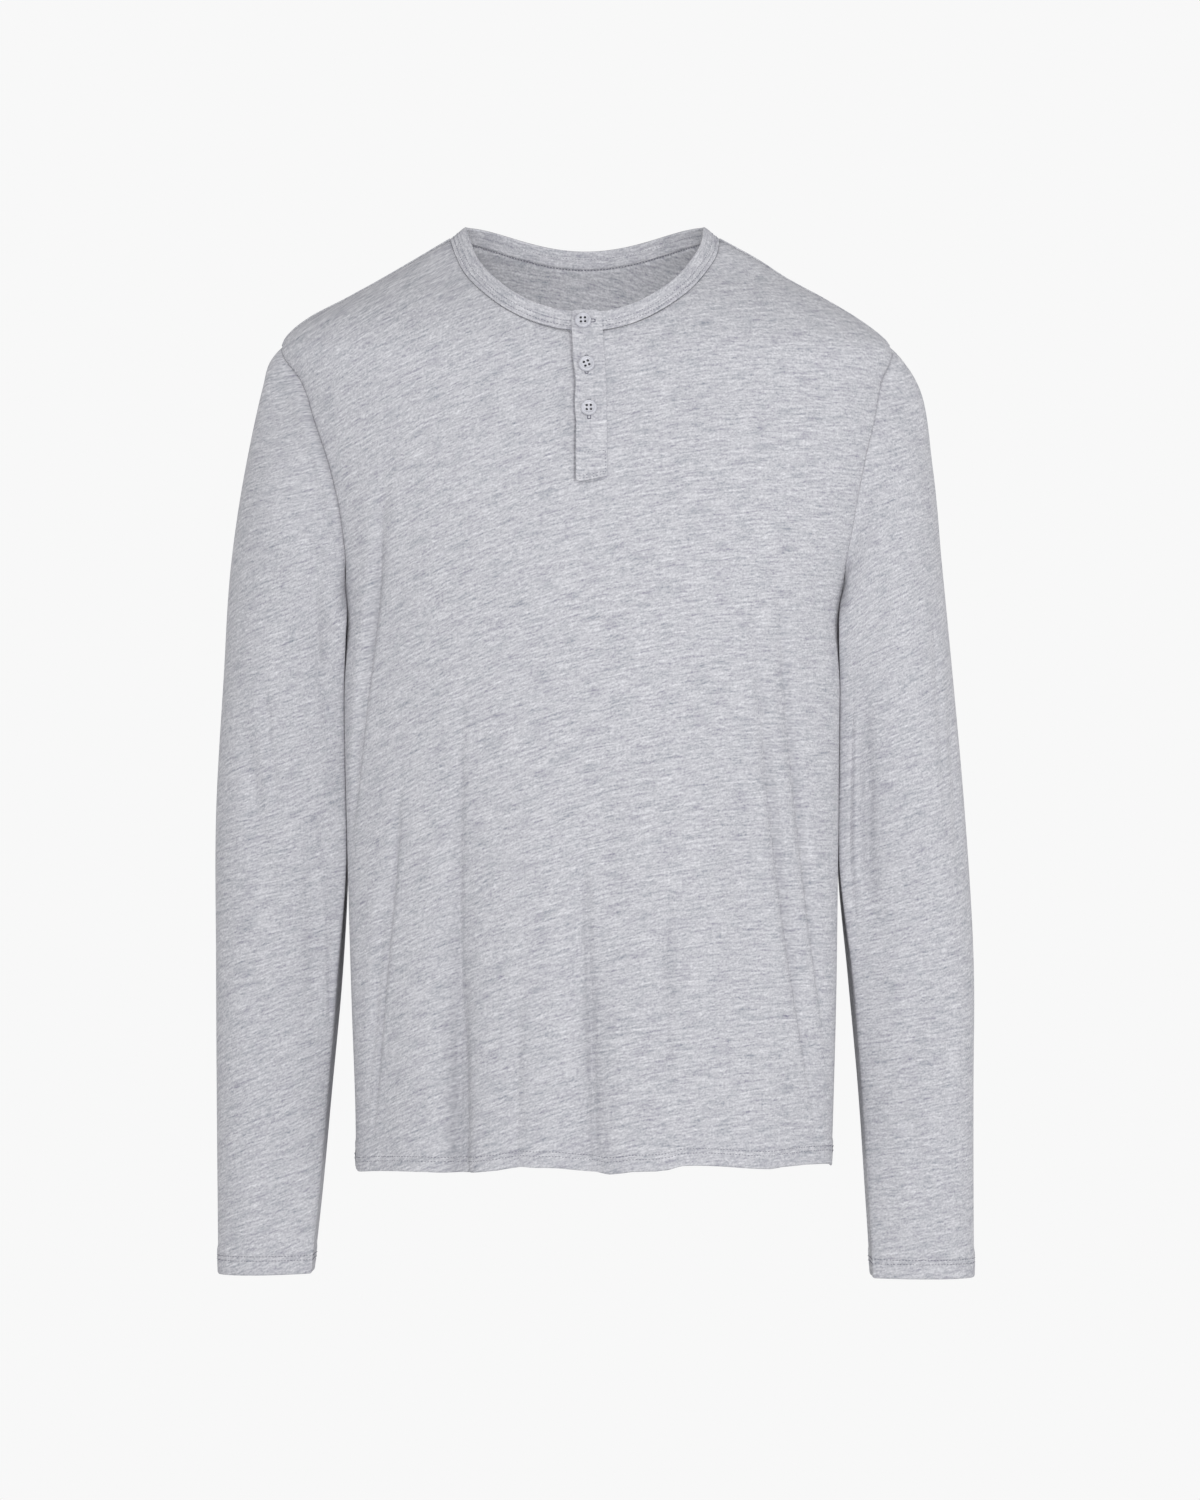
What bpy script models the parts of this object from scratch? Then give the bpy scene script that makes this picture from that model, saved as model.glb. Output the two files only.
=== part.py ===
"""Long-sleeved henley shirt, filled out as it hangs when worn, with nobody in it.

Metres, +Z up. The shirt faces -Y and the wearer's left arm is on +X. The origin is the middle of the
line between the two points where the neck seam crosses the shoulder seams, so heights are negative.

Every panel is a wall of jersey whose points come from one of two surfaces:
  body_cloth    goes round the trunk: its bearing is 0 at the front, 90 degrees at +X, 180 behind
  sleeve_cloth  goes round an arm: its turn is 0 outside the arm, 90 degrees in front, 180 inside
"""

import math

import bmesh
import bpy
import numpy as np
from mathutils import Matrix, Vector
from mathutils.kdtree import KDTree

# Cloth and seams
WALL = 0.0016  # single jersey of the panels and sleeves
HEM_WALL = 0.0026  # the same jersey turned up once
BAND_WALL = 0.0022  # neck band, folded double
PLACKET_WALL = 0.0014
SEAM_GAP = 0.0003
BEND_MARGIN = math.radians(5)  # allows for facets, which bend more than the cloth
MAX_HALF_BEND = math.radians(80)
STEP = 1e-4  # half the distance over which slopes are taken

# Trunk
HEM_HEIGHT = -0.6995
HEM_TILT = 0.011  # it rises a little towards the wearer's left
HEM_FRONT_RISE = 0.0050
HEM_WAVE = 0.0021
HEM_WAVE_LENGTH = 0.120
HEM_WAVE_CREST = -0.051
HEM_HALF_WIDTH = 0.178
HEM_DEPTH = 0.018  # how far the hem is turned up
UNDERARM_HEIGHT = -0.268
SHOULDER_HEIGHT = -0.080  # outer end of the shoulder seam
ARMHOLE_SCOOP_FRONT = math.radians(30)
ARMHOLE_SCOOP_BACK = math.radians(27)
ARMHOLE_ROUNDNESS = 0.6  # below 1, the curve leaves the shoulder and side seams squarely

# Neck
NECK_DROP_FRONT = 0.075
NECK_DROP_BACK = 0.018
NECK_SHAPE_FRONT = 1.35  # at 1 it is half an ellipse; above, it keeps higher at the sides
NECK_SHAPE_BACK = 3.5
BAND_HEIGHT = 0.015
BAND_LEAN_SIDE = math.radians(52)
BAND_LEAN_ENDS = math.radians(18)
NECK_CENTRE_X = -0.002
NECK_CENTRE_Y = -0.012

# Placket, measured across the front from the centre line
PLACKET_FREE_EDGE = -0.0118
PLACKET_SEAM = 0.0113
PLACKET_BOTTOM = -0.1885
PLACKET_TOP_RISE = 0.0012  # its rounded top stands this far above the band
PLACKET_TOP_ROUND = 0.0022  # and its corners lie this much below the middle
STRIP_BEND = 0.006  # length over which it turns from the front to the band
PLACKET_LIFT = 0.0021  # from the middle of the panel's wall to the middle of the placket's
SLOT_MIN_X = -0.0098  # the opening under the placket
SLOT_MAX_X = 0.0090
SLOT_BOTTOM = -0.1740

# Buttons: 20 line, four holes
BUTTON_THICKNESS = 0.0028
BUTTON_OUTLINE = (  # radius, height
    (0.0, 0.0021),
    (0.0040, 0.0021),
    (0.0046, 0.0027),
    (0.0055, 0.0028),
    (0.00625, 0.0021),
    (0.00635, 0.0013),
    (0.0052, 0.0002),
    (0.0040, 0.0),
    (0.0, 0.0),
)
BUTTON_HOLE_RADIUS = 0.0008
BUTTON_HOLE_SPREAD = 0.0013
BUTTON_HOLE_SIDES = 10
BUTTON_SIDES = 24
BUTTONS = (  # across, height
    (-0.0032, -0.0680),
    (-0.0005, -0.1012),
    (0.0012, -0.1342),
)

# How the panels are laid out and divided
FLATNESS = 0.8  # 1 spaces a panel's columns as seen from in front, 0 evenly round the trunk
SHOULDER_COLUMNS = 7  # on each shoulder seam
NECK_COLUMNS_FRONT = 16
NECK_COLUMNS_BACK = 12
BODY_ROWS = 18  # top of the hem to underarm
YOKE_ROWS = 12  # underarm to shoulder
YOKE_SPREAD = 1.35  # above 1, they are closer together near the shoulder
UNDERARM_SHARE = 0.66  # share of a panel's height that lies below the underarm
SLEEVE_RINGS = 21  # armhole to the top of the cuff's hem
SLEEVE_SPREAD = 1.1  # above 1, rings are closer together near the armhole
SETTLING_GRID = 33
SETTLING_STEPS = 80
PLACKET_COLUMNS = 4
PLACKET_ROWS = 12

JERSEY = ("jersey", (0.56, 0.56, 0.61), 0.95)
BUTTON = ("button", (0.48, 0.49, 0.54), 0.45)


def table(columns, *rows):
    """One array for each named column."""
    return dict(zip(columns.split(), np.array(rows, float).T))


# Cross-sections of the trunk, hem to neck. right (-X) and left (+X) are half widths from the centre,
# front and back are depths from the side line, and square is how far the corners stand out of an
# ellipse.
TRUNK = table(
    "height centre right left front back side square",
    (-0.7600, 0.0050, 0.1770, 0.1770, 0.1260, 0.1035, 0.010, 0.040),
    (-0.7050, 0.0050, 0.1790, 0.1785, 0.1255, 0.1030, 0.010, 0.040),
    (-0.6500, 0.0046, 0.1795, 0.1806, 0.1240, 0.1010, 0.010, 0.040),
    (-0.5800, 0.0040, 0.1814, 0.1831, 0.1225, 0.0980, 0.010, 0.045),
    (-0.4500, 0.0035, 0.1845, 0.1853, 0.1235, 0.0950, 0.010, 0.050),
    (-0.3450, 0.0030, 0.1860, 0.1870, 0.1280, 0.1010, 0.010, 0.050),
    (-0.2680, 0.0025, 0.1848, 0.1895, 0.1300, 0.1080, 0.010, 0.050),
    (-0.2450, 0.0023, 0.1885, 0.1970, 0.1285, 0.1095, 0.010, 0.050),
    (-0.2150, 0.0021, 0.2000, 0.2120, 0.1245, 0.1105, 0.009, 0.050),
    (-0.1800, 0.0018, 0.2140, 0.2260, 0.1180, 0.1095, 0.008, 0.050),
    (-0.1450, 0.0010, 0.2220, 0.2320, 0.1090, 0.1050, 0.006, 0.050),
    (-0.1100, 0.0000, 0.2225, 0.2290, 0.0985, 0.0985, 0.005, 0.050),
    (-0.0800, -0.0008, 0.2295, 0.2285, 0.0870, 0.0895, 0.003, 0.045),
    (-0.0700, -0.0010, 0.2222, 0.2180, 0.0818, 0.0862, 0.003, 0.040),
    (-0.0600, -0.0012, 0.2090, 0.2040, 0.0750, 0.0815, 0.002, 0.035),
    (-0.0450, -0.0015, 0.1800, 0.1790, 0.0625, 0.0745, 0.001, 0.030),
    (-0.0300, -0.0017, 0.1526, 0.1516, 0.0480, 0.0660, 0.001, 0.020),
    (-0.0150, -0.0019, 0.1264, 0.1284, 0.0340, 0.0560, 0.000, 0.010),
    (0.0000, -0.0020, 0.1010, 0.1010, 0.0200, 0.0420, 0.000, 0.000),
    (0.0100, -0.0020, 0.0830, 0.0830, 0.0110, 0.0320, 0.000, 0.000),
)

# Folds of the trunk, each a soft valley (push below 0) or ridge (push above 0) from one point to
# another as seen from in front, bowed sideways by bow in the middle.
FRONT_FOLDS = table(
    "start_x start_z end_x end_z bow width push",
    (-0.138, -0.205, -0.174, -0.470, -0.006, 0.0090, -0.0042),
    (-0.130, -0.420, -0.158, -0.655, -0.004, 0.0080, -0.0036),
    (-0.086, -0.350, -0.092, -0.860, -0.006, 0.0110, -0.0052),
    (-0.049, -0.540, -0.054, -0.840, 0.000, 0.0090, -0.0016),
    (-0.006, -0.460, 0.012, -0.860, -0.003, 0.0100, -0.0042),
    (0.0590, -0.500, 0.058, -0.640, 0.002, 0.0080, -0.0022),
    (0.0780, -0.270, 0.123, -0.575, 0.000, 0.0150, -0.0032),
    (0.1120, -0.270, 0.172, -0.665, -0.007, 0.0080, -0.0040),
    (0.1270, -0.235, 0.182, -0.635, -0.004, 0.0075, -0.0034),
    (-0.039, -0.300, -0.036, -0.900, 0.000, 0.0300, 0.0040),
    (0.0530, -0.330, 0.048, -0.900, 0.004, 0.0320, 0.0038),
    (-0.125, -0.480, -0.128, -0.860, 0.000, 0.0200, 0.0026),
    (0.1280, -0.560, 0.124, -0.860, 0.000, 0.0200, 0.0024),
)
BACK_FOLDS = table(
    "start_x start_z end_x end_z bow width push",
    (0.1400, -0.210, 0.171, -0.490, 0.006, 0.0100, -0.0042),
    (0.1180, -0.330, 0.150, -0.640, 0.004, 0.0090, -0.0034),
    (0.0800, -0.350, 0.092, -0.860, 0.005, 0.0120, -0.0050),
    (0.0050, -0.420, -0.010, -0.860, 0.003, 0.0130, -0.0046),
    (-0.072, -0.380, -0.088, -0.860, -0.003, 0.0120, -0.0050),
    (-0.112, -0.260, -0.160, -0.640, 0.006, 0.0090, -0.0040),
    (-0.132, -0.225, -0.176, -0.560, 0.004, 0.0080, -0.0032),
    (0.0420, -0.320, 0.044, -0.900, 0.000, 0.0300, 0.0042),
    (-0.042, -0.340, -0.046, -0.900, 0.000, 0.0300, 0.0042),
)

# Each sleeve ring passes an outer and an inner point, and reaches depth to the front and back of
# middle_y. x is counted outwards from the centre of the shirt. The first row is the armhole.
SLEEVE_COLUMNS = "along outer_x outer_y outer_z inner_x inner_y inner_z middle_y depth"
RIGHT_SLEEVE = table(
    SLEEVE_COLUMNS,
    (0.00, 0.2303, 0.003, -0.080, 0.1823, 0.010, -0.268, 0.006, 0.0640),
    (0.02, 0.2382, 0.004, -0.090, 0.1850, 0.012, -0.273, 0.008, 0.0645),
    (0.06, 0.2444, 0.005, -0.110, 0.1872, 0.016, -0.281, 0.011, 0.0655),
    (0.14, 0.2582, 0.010, -0.172, 0.1882, 0.026, -0.304, 0.018, 0.0655),
    (0.24, 0.2693, 0.014, -0.244, 0.1862, 0.036, -0.340, 0.026, 0.0640),
    (0.36, 0.2753, 0.018, -0.330, 0.1832, 0.044, -0.396, 0.031, 0.0600),
    (0.50, 0.2812, 0.020, -0.432, 0.1830, 0.046, -0.470, 0.033, 0.0540),
    (0.66, 0.2807, 0.012, -0.546, 0.1872, 0.034, -0.560, 0.023, 0.0470),
    (0.80, 0.2794, 0.000, -0.642, 0.1942, 0.014, -0.645, 0.007, 0.0395),
    (0.92, 0.2780, -0.010, -0.722, 0.2006, -0.004, -0.722, -0.007, 0.0320),
    (1.00, 0.2772, -0.014, -0.7785, 0.2064, -0.010, -0.7765, -0.012, 0.0275),
)
LEFT_SLEEVE = table(
    SLEEVE_COLUMNS,
    (0.00, 0.2277, 0.003, -0.080, 0.1920, 0.010, -0.268, 0.006, 0.0640),
    (0.02, 0.2366, 0.004, -0.090, 0.1942, 0.012, -0.273, 0.008, 0.0645),
    (0.06, 0.2490, 0.005, -0.110, 0.1966, 0.016, -0.281, 0.011, 0.0655),
    (0.14, 0.2605, 0.010, -0.172, 0.1972, 0.026, -0.304, 0.018, 0.0655),
    (0.24, 0.2677, 0.014, -0.244, 0.1948, 0.036, -0.340, 0.026, 0.0640),
    (0.36, 0.2763, 0.018, -0.330, 0.1905, 0.044, -0.396, 0.031, 0.0600),
    (0.50, 0.2855, 0.020, -0.432, 0.1902, 0.046, -0.470, 0.033, 0.0540),
    (0.66, 0.2918, 0.012, -0.547, 0.1988, 0.034, -0.561, 0.023, 0.0470),
    (0.80, 0.2908, 0.000, -0.643, 0.2056, 0.014, -0.646, 0.007, 0.0395),
    (0.92, 0.2902, -0.010, -0.724, 0.2100, -0.004, -0.724, -0.007, 0.0320),
    (1.00, 0.2903, -0.014, -0.781, 0.2134, -0.010, -0.780, -0.012, 0.0275),
)
SLEEVE_LENGTH = 0.70
SLEEVE_RADIUS = 0.055  # turns round the arm times this are metres of cloth
GIRTH_RADIUS = 0.155  # the same for the trunk
FOLD_FADE = 0.35  # share of a fold over which each end dies away
ARMHOLE_REACH = 0.16  # share of the sleeve over which the armhole's own curve dies away
FLANK_TURN = math.radians(155)  # the sleeves' fuller part, in front of where they meet the trunk
FLANK_WIDTHS = (math.radians(42), math.radians(9))  # in front of its crest and behind it
FLANK_DEPTH = 0.024

# Folds of the sleeves, from one place along and turn (degrees) to another.
RIGHT_SLEEVE_FOLDS = table(
    "start_along start_turn end_along end_turn width push",
    (0.05, 108.0, 0.30, 132.0, 0.0110, -0.0040),
    (0.36, 52.0, 0.62, 92.0, 0.0100, -0.0034),
    (0.46, 118.0, 0.74, 132.0, 0.0090, -0.0030),
    (0.40, 215.0, 0.60, 285.0, 0.0120, -0.0040),
    (0.50, 235.0, 0.68, 300.0, 0.0110, -0.0034),
    (0.62, 60.0, 0.86, 100.0, 0.0100, -0.0022),
    (0.80, 200.0, 0.96, 250.0, 0.0090, -0.0020),
)
LEFT_SLEEVE_FOLDS = table(
    "start_along start_turn end_along end_turn width push",
    (0.26, 128.0, 0.62, 126.0, 0.0085, -0.0050),
    (0.34, 28.0, 0.58, 36.0, 0.0080, -0.0022),
    (0.56, 64.0, 0.80, 104.0, 0.0110, -0.0026),
    (0.38, 222.0, 0.60, 290.0, 0.0120, -0.0040),
    (0.48, 205.0, 0.66, 262.0, 0.0110, -0.0034),
    (0.10, 250.0, 0.34, 228.0, 0.0120, -0.0036),
    (0.78, 110.0, 0.95, 80.0, 0.0090, -0.0020),
)
SLEEVES = {
    "left": (1, LEFT_SLEEVE, LEFT_SLEEVE_FOLDS),
    "right": (-1, RIGHT_SLEEVE, RIGHT_SLEEVE_FOLDS),
}


# ---- Reading the tables -------------------------------------------------------------------------


def between(rows, column, at):
    """A column's value between its rows, on a smooth curve through them."""
    places, values = rows[next(iter(rows))], rows[column]
    slopes = np.gradient(values, places)
    low = np.clip(np.searchsorted(places, at) - 1, 0, len(places) - 2)
    step = places[low + 1] - places[low]
    share = np.clip((at - places[low]) / step, 0.0, 1.0)
    rest = 1.0 - share
    start, end = values[low], values[low + 1]
    lean = share * rest * (rest * slopes[low] - share * slopes[low + 1]) * step
    return start * rest**2 * (1 + 2 * share) + end * share**2 * (1 + 2 * rest) + lean


def ease(share):
    """0 to 1 with soft ends."""
    share = np.clip(share, 0.0, 1.0)
    return share * share * (3 - 2 * share)


def unit(vectors):
    return vectors / np.linalg.norm(vectors, axis=-1, keepdims=True)


def outward(surface, first, second):
    """Unit normals of a surface of two parameters, on the side that first x second points to."""
    along_first = surface(first + STEP, second) - surface(first - STEP, second)
    along_second = surface(first, second + STEP) - surface(first, second - STEP)
    return unit(np.cross(along_first, along_second))


# ---- Trunk --------------------------------------------------------------------------------------


def body_form(bearing, height):
    """The trunk without folds."""
    across, ahead = np.sin(bearing), np.cos(bearing)
    half = np.where(across > 0, between(TRUNK, "left", height), between(TRUNK, "right", height))
    depth = np.where(ahead > 0, between(TRUNK, "front", height), between(TRUNK, "back", height))
    swell = 1 + between(TRUNK, "square", height) * np.sin(2 * bearing) ** 2
    x = between(TRUNK, "centre", height) + half * across * swell
    y = between(TRUNK, "side", height) - depth * ahead * swell
    return np.stack(np.broadcast_arrays(x, y, height), axis=-1)


def bearing_of(x, height, behind=False):
    """Bearing of the point that is seen at x and height, on the front or the back."""
    offset = x - between(TRUNK, "centre", height)
    half = np.where(offset > 0, between(TRUNK, "left", height), between(TRUNK, "right", height))
    bearing = np.arcsin(np.clip(offset / half, -1, 1))
    return math.pi - bearing if behind else bearing


def body_push(bearing, height):
    """How far the folds move the trunk outwards."""
    push = np.zeros(np.broadcast(bearing, height).shape)
    for folds, behind in ((FRONT_FOLDS, False), (BACK_FOLDS, True)):
        facing = ease(0.5 - 5 * np.cos(bearing)) if behind else ease(0.5 + 5 * np.cos(bearing))
        for start_x, start_z, end_x, end_z, bow, width, depth in zip(*folds.values()):
            share = (start_z - height) / (start_z - end_z)
            x = start_x + (end_x - start_x) * share + 4 * bow * share * (1 - share)
            turn = bearing - bearing_of(x, height, behind)
            offset = GIRTH_RADIUS * ((turn + math.pi) % (2 * math.pi) - math.pi)
            fade = ease(share / FOLD_FADE) * ease((1 - share) / FOLD_FADE)
            push = push + depth * fade * facing * np.exp(-((offset / width) ** 2))
    return push


def body_cloth(bearing, height):
    """The middle of the trunk's wall."""
    lift = body_push(bearing, height)[..., None]
    return body_form(bearing, height) + lift * outward(body_form, bearing, height)


def hem_height(bearing):
    """The bottom edge: raised in the middle of the front, and a little wavy all round."""
    ahead = np.clip(np.cos(bearing), 0, None)
    x = HEM_HALF_WIDTH * np.sin(bearing)
    wave = HEM_WAVE * np.cos(2 * math.pi * (x - HEM_WAVE_CREST) / HEM_WAVE_LENGTH)
    return HEM_HEIGHT + HEM_TILT * x + HEM_FRONT_RISE * ahead**2 + wave * ahead


# ---- Panels of the trunk ------------------------------------------------------------------------


def flat_place(bearing, height):
    """A place on the trunk laid out flat. Across, it is close to what is seen from in front, but
    does not crowd at the side seams. bearing is counted from the middle of the panel."""
    across = np.sin(bearing * FLATNESS) / math.sin(math.pi / 2 * FLATNESS)
    return np.stack((half_width(height) * across, height), axis=-1)


def on_trunk(place):
    """Bearing and height of a flat place."""
    across = place[..., 0] / half_width(place[..., 1]) * math.sin(math.pi / 2 * FLATNESS)
    return np.arcsin(np.clip(across, -1, 1)) / FLATNESS, place[..., 1]


def half_width(height):
    return (between(TRUNK, "left", height) + between(TRUNK, "right", height)) / 2


def neckline(place, behind):
    """Bearing from the panel's middle and height of the neck seam; place is -1 to 1 across it."""
    turn = place * math.pi / 2
    if behind:
        height = -NECK_DROP_BACK * np.abs(np.cos(turn)) ** NECK_SHAPE_BACK
    else:
        height = -NECK_DROP_FRONT * np.abs(np.cos(turn)) ** NECK_SHAPE_FRONT
    across = half_width(0.0) * np.sin(turn) / half_width(height)
    return np.arcsin(np.clip(across, -1, 1)), height


def panel_side(share, behind):
    """Side seam, then armhole: bearing from the panel's middle and height, share 0 to 1 up it."""
    scoop = ARMHOLE_SCOOP_BACK if behind else ARMHOLE_SCOOP_FRONT
    hem = hem_height(math.pi / 2)
    rise = np.clip(share / UNDERARM_SHARE, 0, 1)
    climb = np.clip((share - UNDERARM_SHARE) / (1 - UNDERARM_SHARE), 0, 1)
    climb = (climb + (1 - np.cos(math.pi * climb)) / 2) / 2
    bearing = math.pi / 2 - scoop * np.clip(np.sin(math.pi * climb), 0, 1) ** ARMHOLE_ROUNDNESS
    height = hem + (UNDERARM_HEIGHT - hem) * rise
    return bearing, height + (SHOULDER_HEIGHT - UNDERARM_HEIGHT) * climb


def neck_share(behind):
    """Share of a panel's top edge that is neckline."""
    neck = NECK_COLUMNS_BACK if behind else NECK_COLUMNS_FRONT
    return neck / (neck + 2 * SHOULDER_COLUMNS)


def panel_top(share, behind):
    """Shoulder seam, neckline, shoulder seam, with share 0 to 1 along them."""
    neck = neck_share(behind)
    bearing, height = neckline(np.clip((share - 0.5) / neck * 2, -1, 1), behind)
    outside = np.minimum(share, 1 - share) / (1 - neck) * 2
    on_seam = outside < 1
    bearing = np.where(on_seam, np.sign(share - 0.5) * math.pi / 2, bearing)
    return bearing, np.where(on_seam, SHOULDER_HEIGHT * (1 - outside), height)


def spread(u, v, behind):
    """Flat places spread evenly between a panel's four edges; u is across it and v is up it."""
    middle = math.pi if behind else 0.0
    bearing = (u - 0.5) * math.pi
    bottom = flat_place(bearing, hem_height(middle + bearing))
    top = flat_place(*panel_top(u, behind))
    bearing, height = panel_side(v, behind)
    left, right = flat_place(-bearing, height), flat_place(bearing, height)
    u, v = u[None, :, None], v[:, None, None]
    places = (1 - v) * bottom[None] + v * top[None] + (1 - u) * left[:, None] + u * right[:, None]
    places -= (1 - v) * ((1 - u) * bottom[0] + u * bottom[-1])
    return places - v * ((1 - u) * top[0] + u * top[-1])


def settled(places):
    """A grid of places moved until its lines are smooth and run across each other."""
    places = places.copy()
    for _ in range(SETTLING_STEPS):
        right, left = places[1:-1, 2:], places[1:-1, :-2]
        above, below = places[2:, 1:-1], places[:-2, 1:-1]
        across, up = (right - left) / 2, (above - below) / 2
        twist = (places[2:, 2:] - places[2:, :-2] - places[:-2, 2:] + places[:-2, :-2]) / 4
        wide = np.sum(across**2, axis=-1, keepdims=True)
        high = np.sum(up**2, axis=-1, keepdims=True)
        skew = np.sum(across * up, axis=-1, keepdims=True)
        moved = high * (right + left) + wide * (above + below) - 2 * skew * twist
        places[1:-1, 1:-1] = moved / (2 * (wide + high))
    return places


def panel_plan(u, v, behind):
    """Bearings and heights of a panel's points; u is 0 to 1 across it and v is 0 to 1 up it.

    The points are spread between the edges and moved as those of a coarse grid settle.
    """
    coarse_u, coarse_v = np.linspace(0, 1, SETTLING_GRID), np.linspace(0, 1, SETTLING_GRID)
    coarse = spread(coarse_u, coarse_v, behind)
    moves = settled(coarse) - coarse
    across = np.stack([[np.interp(u, coarse_u, row) for row in moves[..., i]] for i in (0, 1)])
    moves = np.stack([[np.interp(v, coarse_v, line) for line in part.T] for part in across])
    bearing, height = on_trunk(spread(u, v, behind) + moves.transpose(2, 1, 0))
    return bearing + (math.pi if behind else 0.0), height


# ---- Sleeves ------------------------------------------------------------------------------------


def sleeve_ring(rows, along, turn):
    """A sleeve without folds or armhole, with x counted outwards."""
    outer = np.stack([between(rows, "outer_" + axis, along) for axis in "xyz"], axis=-1)
    inner = np.stack([between(rows, "inner_" + axis, along) for axis in "xyz"], axis=-1)
    middle, reach = (outer + inner) / 2, (outer - inner) / 2
    shift = (between(rows, "middle_y", along) - middle[..., 1]) * np.sin(turn) ** 2
    ring = middle + reach * np.cos(turn)[..., None]
    ring[..., 1] += shift - between(rows, "depth", along) * np.sin(turn)
    ring[..., 1] -= sleeve_flank(along, turn)
    return ring


def sleeve_flank(along, turn):
    """How much fuller a sleeve is where it lies against the side of the trunk."""
    from_crest = (turn - FLANK_TURN + math.pi) % (2 * math.pi) - math.pi
    width = np.where(from_crest < 0, *FLANK_WIDTHS)
    fullness = ease((along - 0.04) / 0.16) * (1 - 0.65 * ease((along - 0.50) / 0.40))
    return FLANK_DEPTH * fullness * np.exp(-((from_crest / width) ** 2))


def armhole_bearing(side, turn):
    """Bearing and height of the armhole, where the sleeve at side (1 or -1) meets the trunk."""
    turn = turn % (2 * math.pi)
    share = UNDERARM_SHARE + (1 - UNDERARM_SHARE) * np.abs(1 - turn / math.pi)
    front, height = panel_side(share, False)
    back, height = panel_side(share, True)
    return side * np.where(turn > math.pi, math.pi - back, front), height


def sleeve_push(folds, along, turn):
    push = np.zeros(np.broadcast(along, turn).shape)
    for start_along, start_turn, end_along, end_turn, width, depth in zip(*folds.values()):
        down = (end_along - start_along) * SLEEVE_LENGTH
        round_arm = math.radians(end_turn - start_turn) * SLEEVE_RADIUS
        length = math.hypot(down, round_arm)
        middle_turn = math.radians(start_turn + end_turn) / 2
        wrapped = (turn - middle_turn + math.pi) % (2 * math.pi) - math.pi
        from_down = (along - (start_along + end_along) / 2) * SLEEVE_LENGTH
        from_round = wrapped * SLEEVE_RADIUS
        share = 0.5 + (from_down * down + from_round * round_arm) / length**2
        offset = (from_round * down - from_down * round_arm) / length
        fade = ease(share / FOLD_FADE) * ease((1 - share) / FOLD_FADE)
        push = push + depth * fade * np.exp(-((offset / width) ** 2))
    return push


def sleeve_form(name, turn, along):
    """A sleeve without folds."""
    side, rows, folds = SLEEVES[name]
    turn, along = np.broadcast_arrays(turn, along)
    start = sleeve_ring(rows, np.zeros(along.shape), turn)
    armhole = body_cloth(*armhole_bearing(side, turn)) * (side, 1, 1)
    fit = (armhole - start) * (1 - ease(along / ARMHOLE_REACH))[..., None]
    return (sleeve_ring(rows, along, turn) + fit) * (side, 1, 1)


def sleeve_outward(name, turn, along):
    side = SLEEVES[name][0]
    return side * outward(lambda t, a: sleeve_form(name, t, a), turn, along)


def sleeve_cloth(name, turn, along):
    """The middle of a sleeve's wall."""
    lift = sleeve_push(SLEEVES[name][2], along, turn)[..., None]
    return sleeve_form(name, turn, along) + lift * sleeve_outward(name, turn, along)


# ---- Neck band and placket ----------------------------------------------------------------------


def neck_bearing(place):
    """Bearing and height of the neck seam. place is 0 in the middle of the front, 1 at the wearer's
    left shoulder seam, 2 in the middle of the back and 3 at the right shoulder seam."""
    place = (place + 2) % 4 - 2
    behind = np.abs(place) > 1
    front, front_height = neckline(np.clip(place, -1, 1), False)
    back_place = np.sign(place) * (2 - np.abs(place))
    back, back_height = neckline(np.clip(back_place, -1, 1), True)
    return np.where(behind, math.pi - back, front), np.where(behind, back_height, front_height)


def neck_seam(place):
    return body_cloth(*neck_bearing(place))


def band_up(place):
    """The direction in which the band stands up from its seam."""
    inwards = neck_seam(place) * (-1, -1, 0) + (NECK_CENTRE_X, NECK_CENTRE_Y, 0)
    lean = BAND_LEAN_ENDS + (BAND_LEAN_SIDE - BAND_LEAN_ENDS) * np.sin(place * math.pi / 2) ** 2
    return np.cos(lean)[..., None] * (0, 0, 1) + np.sin(lean)[..., None] * unit(inwards)


def band_cloth(place, rise):
    """The middle of the neck band's wall, at a distance above its seam."""
    return neck_seam(place) + rise[..., None] * band_up(place)


def neck_place(x):
    """Place along the front neckline at x, near its middle."""
    places = np.linspace(-0.4, 0.4, 81)
    bearing, height = neckline(places, False)
    return np.interp(x, body_form(bearing, height)[..., 0], places)


def strip_form(x, run):
    """The front and the band above it as one strip; run is 0 at the neck seam and grows upwards."""
    x, run = np.broadcast_arrays(x, run)
    place = neck_place(x)
    height = neckline(place, False)[1] + np.minimum(run, 0)
    panel = body_cloth(bearing_of(x, height), height)
    return np.where(run[..., None] > 0, band_cloth(place, np.maximum(run, 0)), panel)


def strip_outward(x, run):
    """Normals of the strip, turning evenly from the panel to the band."""
    below = outward(strip_form, x, np.minimum(run, -STEP) + 0 * x)
    above = outward(strip_form, x, np.maximum(run, STEP) + 0 * x)
    share = ease(0.5 + run / STRIP_BEND)[..., None] + 0 * below
    return unit(below * (1 - share) + above * share)


def strip_surface(x, run, lift):
    x, run = np.broadcast_arrays(x, run)
    return strip_form(x, run) + lift * strip_outward(x, run)


# ---- Grids and seams ----------------------------------------------------------------------------


def climbs():
    """Shares of the armhole's height at which the panels and the sleeves have their points."""
    return 1 - (1 - np.linspace(0, 1, YOKE_ROWS + 1)) ** YOKE_SPREAD


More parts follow.
